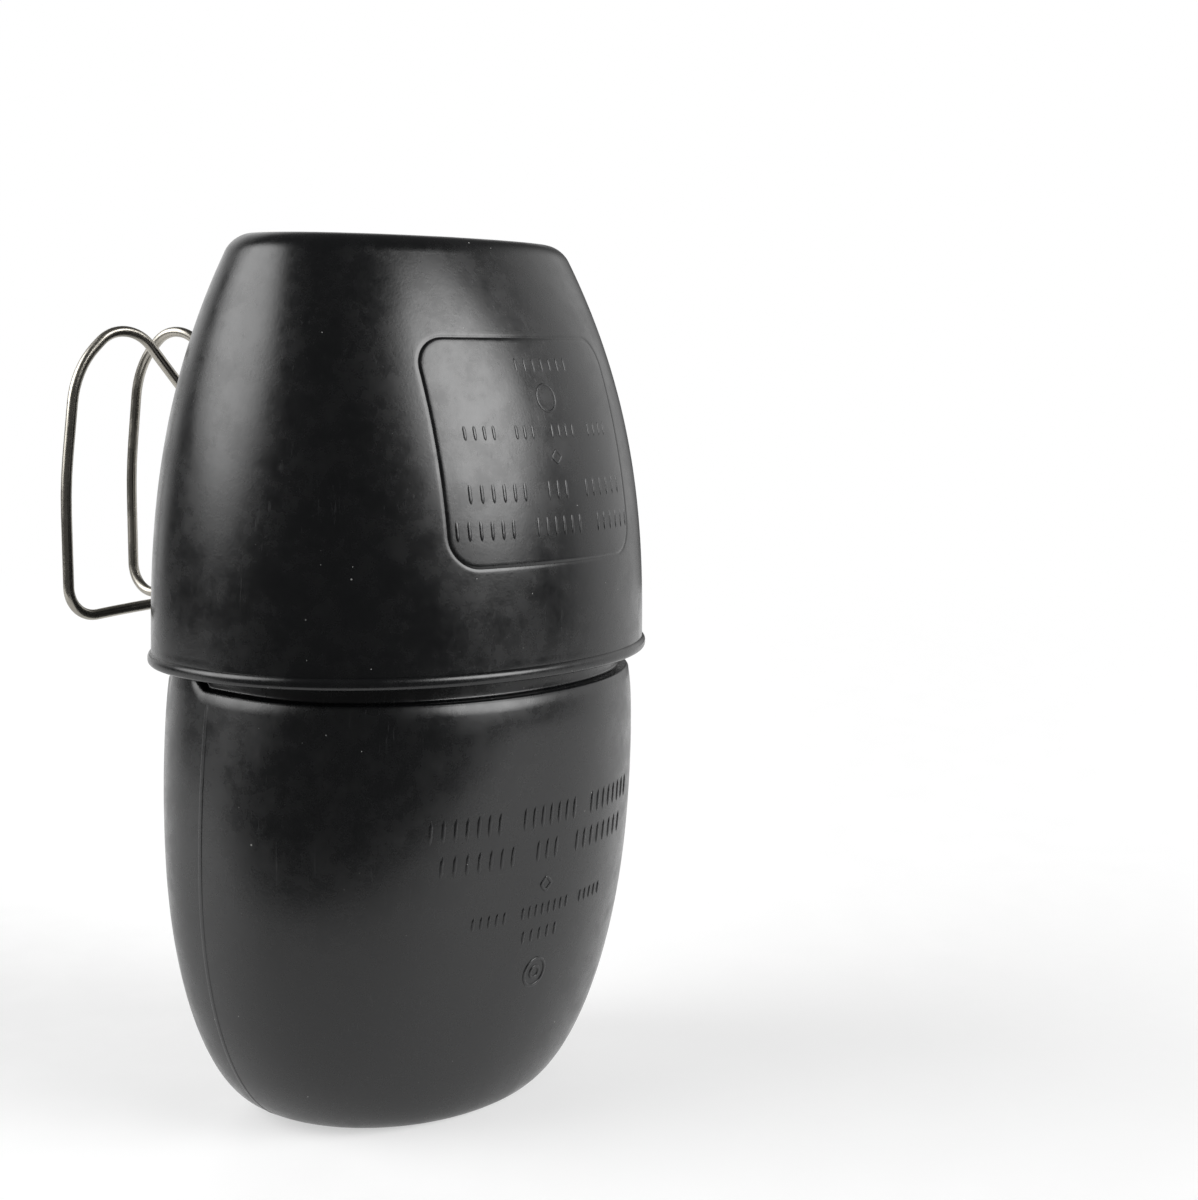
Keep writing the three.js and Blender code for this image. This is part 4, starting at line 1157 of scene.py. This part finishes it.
class CANTEEN_OT_bracket(bpy.types.Operator):
    """Build the steel bracket with its two rolled barrels, its rivets and their washers"""

    bl_idname = "canteen.bracket"
    bl_label = "Bracket and rivets"

    def execute(self, context):
        s = context.scene.canteen_steel
        material = plain_steel("bare_steel", context.scene.canteen_finish.steel, 0.30, (1400, 1400, 60))
        middle = (BRACKET_HIGH.z + BRACKET_LOW.z) / 2
        half_height = (BRACKET_HIGH.z - BRACKET_LOW.z) / 2
        back = BRACKET_LOW.y
        parts = Parts()
        strip = rounded_outline(s.strip_width / 2, half_height, 0.003, 10)
        parts.add(*standing_plate(strip, middle, back, back + s.plate_thickness, 0.0002))
        parts.add(*self.rolled_leaf(s, middle, back))
        make_piece("bracket_plate", parts, material, "mug", "bare_steel", "handle_bracket", sharp=35)
        for index, name in enumerate(RIVETS):
            self.add_rivet(index + 1, name, material)
        for index, name in enumerate(WASHERS):
            self.add_washer(index + 1, name, material)
        return {"FINISHED"}

    def rolled_leaf(self, s, middle, back):
        """One sheet: the flat leaf between the pivots, with each side rolled round its wire."""
        outer = (BRACKET_HIGH.y - BRACKET_LOW.y) / 2
        wire_gap = 0.00025
        thickness = outer - s.wire_radius - wire_gap
        mid_radius = outer - thickness / 2
        pivot = s.pivot_spacing / 2
        pivot_y = back + outer
        curl = np.radians(np.linspace(-90, 222, 40))
        right = [(pivot + mid_radius * math.cos(t), pivot_y + mid_radius * math.sin(t)) for t in curl]
        left = [(-x, y) for x, y in right]
        centre_line = left[::-1] + [(x, back + thickness / 2) for x in (-0.004, 0.0, 0.004)] + right
        centre_line = np.array(centre_line)
        tangent = along(np.column_stack([centre_line, np.zeros(len(centre_line))]))[:, :2]
        normal = np.stack([-tangent[:, 1], tangent[:, 0]], 1)
        half = s.barrel_length / 2
        bevel = 0.00012
        rings = []
        for height, shrink in ((-half, bevel), (-half + bevel, 0.0), (half - bevel, 0.0), (half, bevel)):
            offset = normal * (thickness / 2 - shrink)
            outline = np.vstack([centre_line + offset, (centre_line - offset)[::-1]])
            rings.append(np.column_stack([outline, np.full(len(outline), middle + height)]))
        return self.strip_solid(rings, len(centre_line))

    def strip_solid(self, rings, count):
        """Walls between the rings, with the two ends filled across the strip quad by quad."""
        total = 2 * count
        points = np.concatenate(rings)
        faces = []
        for row in range(len(rings) - 1):
            low, high = row * total, (row + 1) * total
            for side in range(total):
                after = (side + 1) % total
                faces.append((low + after, low + side, high + side, high + after))
        top = (len(rings) - 1) * total
        for side in range(count - 1):
            faces.append((side, side + 1, total - 2 - side, total - 1 - side))
            faces.append((top + side + 1, top + side, top + total - 1 - side, top + total - 2 - side))
        return points, faces

    def along_y(self, profile, z, count):
        """Turns a profile of (radius, y) about an axis along +Y at height z."""
        turn = angles(count)
        rings = []
        for radius, y in profile:
            ring = [np.cos(turn) * radius, np.full(count, y), z + np.sin(turn) * radius]
            rings.append(np.stack(ring, 1)[::-1])
        return rings

    def add_rivet(self, index, node, material):
        """Domed head behind the bracket, shank through the wall and a spread tail inside."""
        low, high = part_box(node)
        z = (low.z + high.z) / 2
        head = (high.x - low.x) / 2
        shank = 0.0015
        tail = 0.0026
        tail_top = low.y + 0.0007
        head_back = high.y - 0.0012
        profile = [(0.0002, low.y)] + arc((tail - 0.0004, low.y + 0.0004), 0.0004, 270, 360, 4)
        profile += [(tail, tail_top), (shank, tail_top), (shank, head_back), (head - 0.0001, head_back)]
        profile += dome_profile(head, head_back + 0.0001, 0.0011, np.linspace(0.05, 1.5, 12))
        parts = Parts()
        parts.add(*loft(self.along_y(profile, z, 64)))
        make_piece(f"rivet_{index}", parts, material, "mug", "bare_steel", node, sharp=40)

    def add_washer(self, index, node, material):
        low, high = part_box(node)
        z = (low.z + high.z) / 2
        outer = (high.x - low.x) / 2
        inner = 0.00175
        profile = ring_profile(inner, outer, low.y, high.y, 0.00015, 2)
        parts = Parts()
        parts.add(*loft(self.along_y(profile, z, 64), closed=True))
        make_piece(f"washer_{index}", parts, material, "mug", "bare_steel", node, sharp=40)


# ---------------------------------------------------------------------------
# Wire handles
# ---------------------------------------------------------------------------

# Reach from the pivot, height from the bracket's middle, bend radius.
HANDLE_CORNERS = (
    (0.0, -0.013, 0.003),
    (0.0485, -0.0175, 0.0075),
    (0.049, 0.015, 0.100),
    (0.0455, 0.0425, 0.022),
    (0.031, 0.056, 0.009),
    (0.0, 0.016, 0.004),
)
STUB_GAP = 0.0016  # between the wire's two cut ends in the barrel


def bend_points(before, corner, after, radius, step=0.09):
    """Points round one bend of a flat route, a step of so many radians apart."""
    to_before, to_after = unit(before - corner), unit(after - corner)
    half_angle = math.acos(float(np.clip(np.dot(to_before, to_after), -1, 1))) / 2
    tangent = radius / math.tan(half_angle)
    centre = corner + unit(to_before + to_after) * radius / math.sin(half_angle)
    start = corner + to_before * tangent - centre
    finish = corner + to_after * tangent - centre
    sweep = math.atan2(start[0] * finish[1] - start[1] * finish[0], float(np.dot(start, finish)))
    steps = max(3, math.ceil(abs(sweep) / step))
    points = []
    for share in np.linspace(0, 1, steps + 1):
        angle = sweep * share
        c, s = math.cos(angle), math.sin(angle)
        points.append(centre + [start[0] * c - start[1] * s, start[0] * s + start[1] * c])
    return points


def handle_route():
    """Flat route of one handle as (reach, height) from one wire end to the other."""
    ends = [np.array([0.0, -STUB_GAP / 2]), np.array([0.0, STUB_GAP / 2])]
    corners = [np.array(corner[:2]) for corner in HANDLE_CORNERS]
    stops = [ends[0]] + corners + [ends[1]]
    route = [ends[0]]
    spacing = 0.003
    for index, (_, _, radius) in enumerate(HANDLE_CORNERS):
        bend = bend_points(stops[index], stops[index + 1], stops[index + 2], radius)
        start = route[-1]
        extra = int(np.linalg.norm(bend[0] - start) / spacing)
        route += [start + (bend[0] - start) * (k + 1) / (extra + 1) for k in range(extra)]
        route += bend
    route += [route[-1] + (ends[1] - route[-1]) * share for share in (0.25, 0.5, 0.75, 1.0)]
    return np.array(route)


class CANTEEN_OT_handles(bpy.types.Operator):
    """Build the two folding wire handles"""

    bl_idname = "canteen.handles"
    bl_label = "Wire handles"

    def execute(self, context):
        s = context.scene.canteen_steel
        material = plain_steel("handle_wire", context.scene.canteen_finish.wire, 0.24, (160, 160, 160))
        middle = (BRACKET_HIGH.z + BRACKET_LOW.z) / 2
        pivot_y = (BRACKET_HIGH.y + BRACKET_LOW.y) / 2
        route = handle_route()
        for name, node, side, angle in (
            ("left_wire", "handle_left", -1, s.left_angle),
            ("right_wire", "handle_right", 1, s.right_angle),
        ):
            bow = route[:, 0] / s.handle_arc
            aside = side * s.handle_arc * (1 - np.cos(bow))
            local = np.stack([aside, s.handle_arc * np.sin(bow), route[:, 1] + middle], 1)
            turn = Matrix.Rotation(math.radians(angle), 3, "Z")
            pivot = np.array([side * s.pivot_spacing / 2, pivot_y, 0])
            path = local @ np.array(turn).T + pivot
            parts = Parts()
            parts.add(*self.wire(path, s.wire_radius))
            make_piece(name, parts, material, name.replace("wire", "handle"), "handle_wire", node, sharp=40)
        return {"FINISHED"}

    def wire(self, path, radius):
        """Round wire with its cut ends slightly bevelled."""
        tangents = along(path)
        sides, ups = transported(path, (1, 0, 0))
        outline = circle(24)
        rings = []
        bevel = 0.00015
        for index, place in enumerate(path):
            size = radius - bevel if index in (0, len(path) - 1) else radius
            rings.append(place + size * (outline[:, :1] * sides[index] + outline[:, 1:] * ups[index]))
        for index, shift in ((0, bevel), (-1, -bevel)):
            full = path[index] + tangents[index] * shift
            ring = full + radius * (outline[:, :1] * sides[index] + outline[:, 1:] * ups[index])
            rings.insert(1 if index == 0 else len(rings) - 1, ring)
        return loft(rings)


# ---------------------------------------------------------------------------
# Floor, lights and camera
# ---------------------------------------------------------------------------

# Degrees round from the camera, up, and from a light's middle to where it has faded out.
BACKDROP_SIDES = (-150, 130)
BACKDROP_HEIGHT = 10
BACKDROP_SPREAD = 40
FULL_SHARE = 0.25  # of the spread, within which a light has its full brightness

class CANTEEN_PG_stage(bpy.types.PropertyGroup):
    camera_x: length("Camera X", "Place of the camera", -0.3362)
    camera_y: length("Camera Y", "Place of the camera", -0.3486)
    camera_z: length("Camera Z", "Place of the camera", 0.1841)
    heading: number("Heading", "Degrees that the camera looks from +Y towards +X", 49.61)
    pitch: number("Pitch", "Degrees that the camera looks down", 7.544)
    roll: number("Roll", "Degrees of camera roll", 0.917)
    lens: number("Lens", "Focal length in millimetres on a 36 mm sensor", 60.465)
    left_light: number("Left light", "Brightness of the softbox to the camera's left", 6.0)
    left_side: number("Left side", "Degrees round from the camera to the left softbox", -75)
    left_height: number("Left height", "Degrees up to the left softbox", 30)
    left_spread: number("Left spread", "Degrees from its middle to where it has faded out", 34)
    right_light: number("Right light", "Brightness of the softbox to the camera's right", 9.0)
    right_side: number("Right side", "Degrees round from the camera to the right softbox", 70)
    right_height: number("Right height", "Degrees up to the right softbox", 26)
    right_spread: number("Right spread", "Degrees from its middle to where it has faded out", 28)
    backdrop: number("Backdrop", "Brightness of the pale backdrop to each side behind", 1.0)
    room: number("Room", "Brightness of the unlit room", 0.10)
    sheet_front: length("Sheet front", "How far the lit sheet reaches towards the camera", 0.19)
    floor: colour("Floor", "Colour of the floor", (0.42, 0.42, 0.42))
    floor_glow: number("Floor glow", "Light that comes through the floor sheet from below", 0.52)


class CANTEEN_OT_stage(bpy.types.Operator):
    """Set the pale floor, the soft studio lights and the camera"""

    bl_idname = "canteen.stage"
    bl_label = "Stage"

    def execute(self, context):
        s = context.scene.canteen_stage
        heading = math.radians(s.heading)
        self.ahead = Vector((math.sin(heading), math.cos(heading), 0))
        self.right = Vector((math.cos(heading), -math.sin(heading), 0))
        context.scene.view_settings.view_transform = "Standard"
        self.add_camera(context, s)
        self.add_floor(context, s)
        self.add_world(context, s)
        return {"FINISHED"}

    def add_camera(self, context, s):
        camera = bpy.data.cameras.new("view")
        camera.lens = s.lens
        camera.sensor_width = 36.0
        camera.clip_start = 0.01
        place = bpy.data.objects.new("view", camera)
        context.scene.collection.objects.link(place)
        aim = Matrix.Rotation(-math.radians(s.heading), 4, "Z")
        tilt = Matrix.Rotation(math.radians(90 - s.pitch), 4, "X")
        roll = Matrix.Rotation(math.radians(s.roll), 4, "Z")
        spot = Matrix.Translation((s.camera_x, s.camera_y, s.camera_z))
        place.matrix_world = spot @ aim @ tilt @ roll
        context.scene.camera = place

    def add_floor(self, context, s):
        """A lit sheet under the object, and below it a wide ground that only the camera sees."""
        n = Nodes("floor")
        away = n.add("ShaderNodeVectorMath", {0: n.place}, operation="LENGTH").outputs["Value"]
        faint = n.noise(60.0, 3.0, 0.5)
        shade = n.mix(faint, tuple(c * 0.99 for c in s.floor), tuple(s.floor))
        n.set("Base Color", shade)
        n.set("Roughness", n.range(faint, 0.3, 0.7, 0.5, 0.6))
        n.set("Emission Color", (1.0, 1.0, 1.0, 1.0))
        n.set("Emission Strength", s.floor_glow)
        glow = n.add("ShaderNodeEmission", {"Color": (1, 1, 1, 1), "Strength": 1.0}).outputs[0]
        white_from, white_at = 0.35, 1.1
        blend = n.add("ShaderNodeMixShader", {"Fac": n.range(away, white_from, white_at)})
        n.put(blend.inputs[1], n.shader.outputs[0])
        n.put(blend.inputs[2], glow)
        n.put(n.tree.nodes["Material Output"].inputs["Surface"], blend.outputs[0])
        half_width, sheet_back, corner = 0.75, 1.0, 0.1
        sheet = rounded_outline(half_width, (sheet_back + s.sheet_front) / 2, corner)
        sheet[:, 1] += (sheet_back - s.sheet_front) / 2
        turned_round = np.outer(sheet[:, 0], self.right) + np.outer(sheet[:, 1], self.ahead)
        self.lay(context, "sheet", turned_round[:, :2], -0.0002, n.material).visible_shadow = False
        ground = self.lay(context, "ground", circle(128, radius=3.0), -0.0012, n.material)
        ground.visible_diffuse = False
        ground.visible_glossy = False

    def lay(self, context, name, outline, height, material):
        """One flat face in the plane of the floor."""
        mesh = bpy.data.meshes.new(name)
        points = [(x, y, height) for x, y in outline]
        mesh.from_pydata(points, [], [tuple(range(len(points)))])
        mesh.materials.append(material)
        place = bpy.data.objects.new(name, mesh)
        context.scene.collection.objects.link(place)
        return place

    def add_world(self, context, s):
        """White to look at; for light and reflections, a dark studio with broad soft lights in it."""
        world = bpy.data.worlds.new("studio")
        world.use_nodes = True
        context.scene.world = world
        nodes, links = world.node_tree.nodes, world.node_tree.links
        coordinate = nodes.new("ShaderNodeTexCoord")
        total = None
        soft_lights = (
            (s.left_side, s.left_height, s.left_spread, s.left_light),
            (s.right_side, s.right_height, s.right_spread, s.right_light),
            *((side, BACKDROP_HEIGHT, BACKDROP_SPREAD, s.backdrop) for side in BACKDROP_SIDES),
        )
        for side, height, spread, radiance in soft_lights:
            dot = nodes.new("ShaderNodeVectorMath")
            dot.operation = "DOT_PRODUCT"
            dot.inputs[1].default_value = self.direction(side, height)
            spot = nodes.new("ShaderNodeMapRange")
            spot.interpolation_type = "SMOOTHSTEP"
            spot.inputs["From Min"].default_value = math.cos(math.radians(spread))
            spot.inputs["From Max"].default_value = math.cos(math.radians(spread * FULL_SHARE))
            spot.inputs["To Min"].default_value = 0.0
            spot.inputs["To Max"].default_value = radiance
            links.new(coordinate.outputs["Generated"], dot.inputs[0])
            links.new(dot.outputs["Value"], spot.inputs["Value"])
            added = nodes.new("ShaderNodeMath")
            added.operation = "ADD"
            added.inputs[1].default_value = s.room
            if total is not None:
                links.new(total, added.inputs[1])
            links.new(spot.outputs["Result"], added.inputs[0])
            total = added.outputs[0]
        seen = nodes.new("ShaderNodeLightPath")
        pick = nodes.new("ShaderNodeMix")
        background = nodes["Background"]
        links.new(seen.outputs["Is Camera Ray"], pick.inputs["Factor"])
        links.new(total, pick.inputs[2])
        pick.inputs[3].default_value = 1.0
        links.new(pick.outputs[0], background.inputs["Strength"])
        background.inputs["Color"].default_value = (1, 1, 1, 1)

    def direction(self, side, height):
        """Direction by degrees to the camera's right, as seen from the object, and degrees up."""
        turn, rise = math.radians(side), math.radians(height)
        flat = self.right * math.sin(turn) - self.ahead * math.cos(turn)
        return flat * math.cos(rise) + Vector((0, 0, math.sin(rise)))


# ---------------------------------------------------------------------------
# Panel, registration and run
# ---------------------------------------------------------------------------

class CANTEEN_PT_panel(bpy.types.Panel):
    """Sizes and makers of the canteen"""

    bl_label = "Canteen"
    bl_idname = "CANTEEN_PT_panel"
    bl_space_type = "VIEW_3D"
    bl_region_type = "UI"
    bl_category = "Canteen"

    def draw(self, context):
        for kind in MAKERS:
            self.layout.operator(kind.bl_idname)
        for group in GROUPS:
            box = self.layout.box()
            box.label(text=group.replace("canteen_", "").capitalize())
            settings = getattr(context.scene, group)
            for key in settings.bl_rna.properties.keys():
                if key not in {"rna_type", "name"}:
                    box.prop(settings, key)


GROUPS = {
    "canteen_oval": CANTEEN_PG_oval,
    "canteen_bottle": CANTEEN_PG_bottle,
    "canteen_mug": CANTEEN_PG_mug,
    "canteen_cap": CANTEEN_PG_cap,
    "canteen_strap": CANTEEN_PG_strap,
    "canteen_steel": CANTEEN_PG_steel,
    "canteen_finish": CANTEEN_PG_finish,
    "canteen_stage": CANTEEN_PG_stage,
}
MAKERS = (
    CANTEEN_OT_stage,
    CANTEEN_OT_bottle,
    CANTEEN_OT_mug,
    CANTEEN_OT_cap,
    CANTEEN_OT_strap,
    CANTEEN_OT_bracket,
    CANTEEN_OT_handles,
)


def register():
    for kind in (*GROUPS.values(), *MAKERS, CANTEEN_PT_panel):
        bpy.utils.register_class(kind)
    for name, kind in GROUPS.items():
        setattr(bpy.types.Scene, name, PointerProperty(type=kind))


def unregister():
    for name in GROUPS:
        delattr(bpy.types.Scene, name)
    for kind in (CANTEEN_PT_panel, *reversed(MAKERS), *reversed(GROUPS.values())):
        bpy.utils.unregister_class(kind)


def main():
    register()
    bpy.ops.canteen.stage()
    bpy.ops.canteen.bottle()
    bpy.ops.canteen.mug()
    bpy.ops.canteen.cap()
    bpy.ops.canteen.strap()
    bpy.ops.canteen.bracket()
    bpy.ops.canteen.handles()


if __name__ == "__main__":
    main()
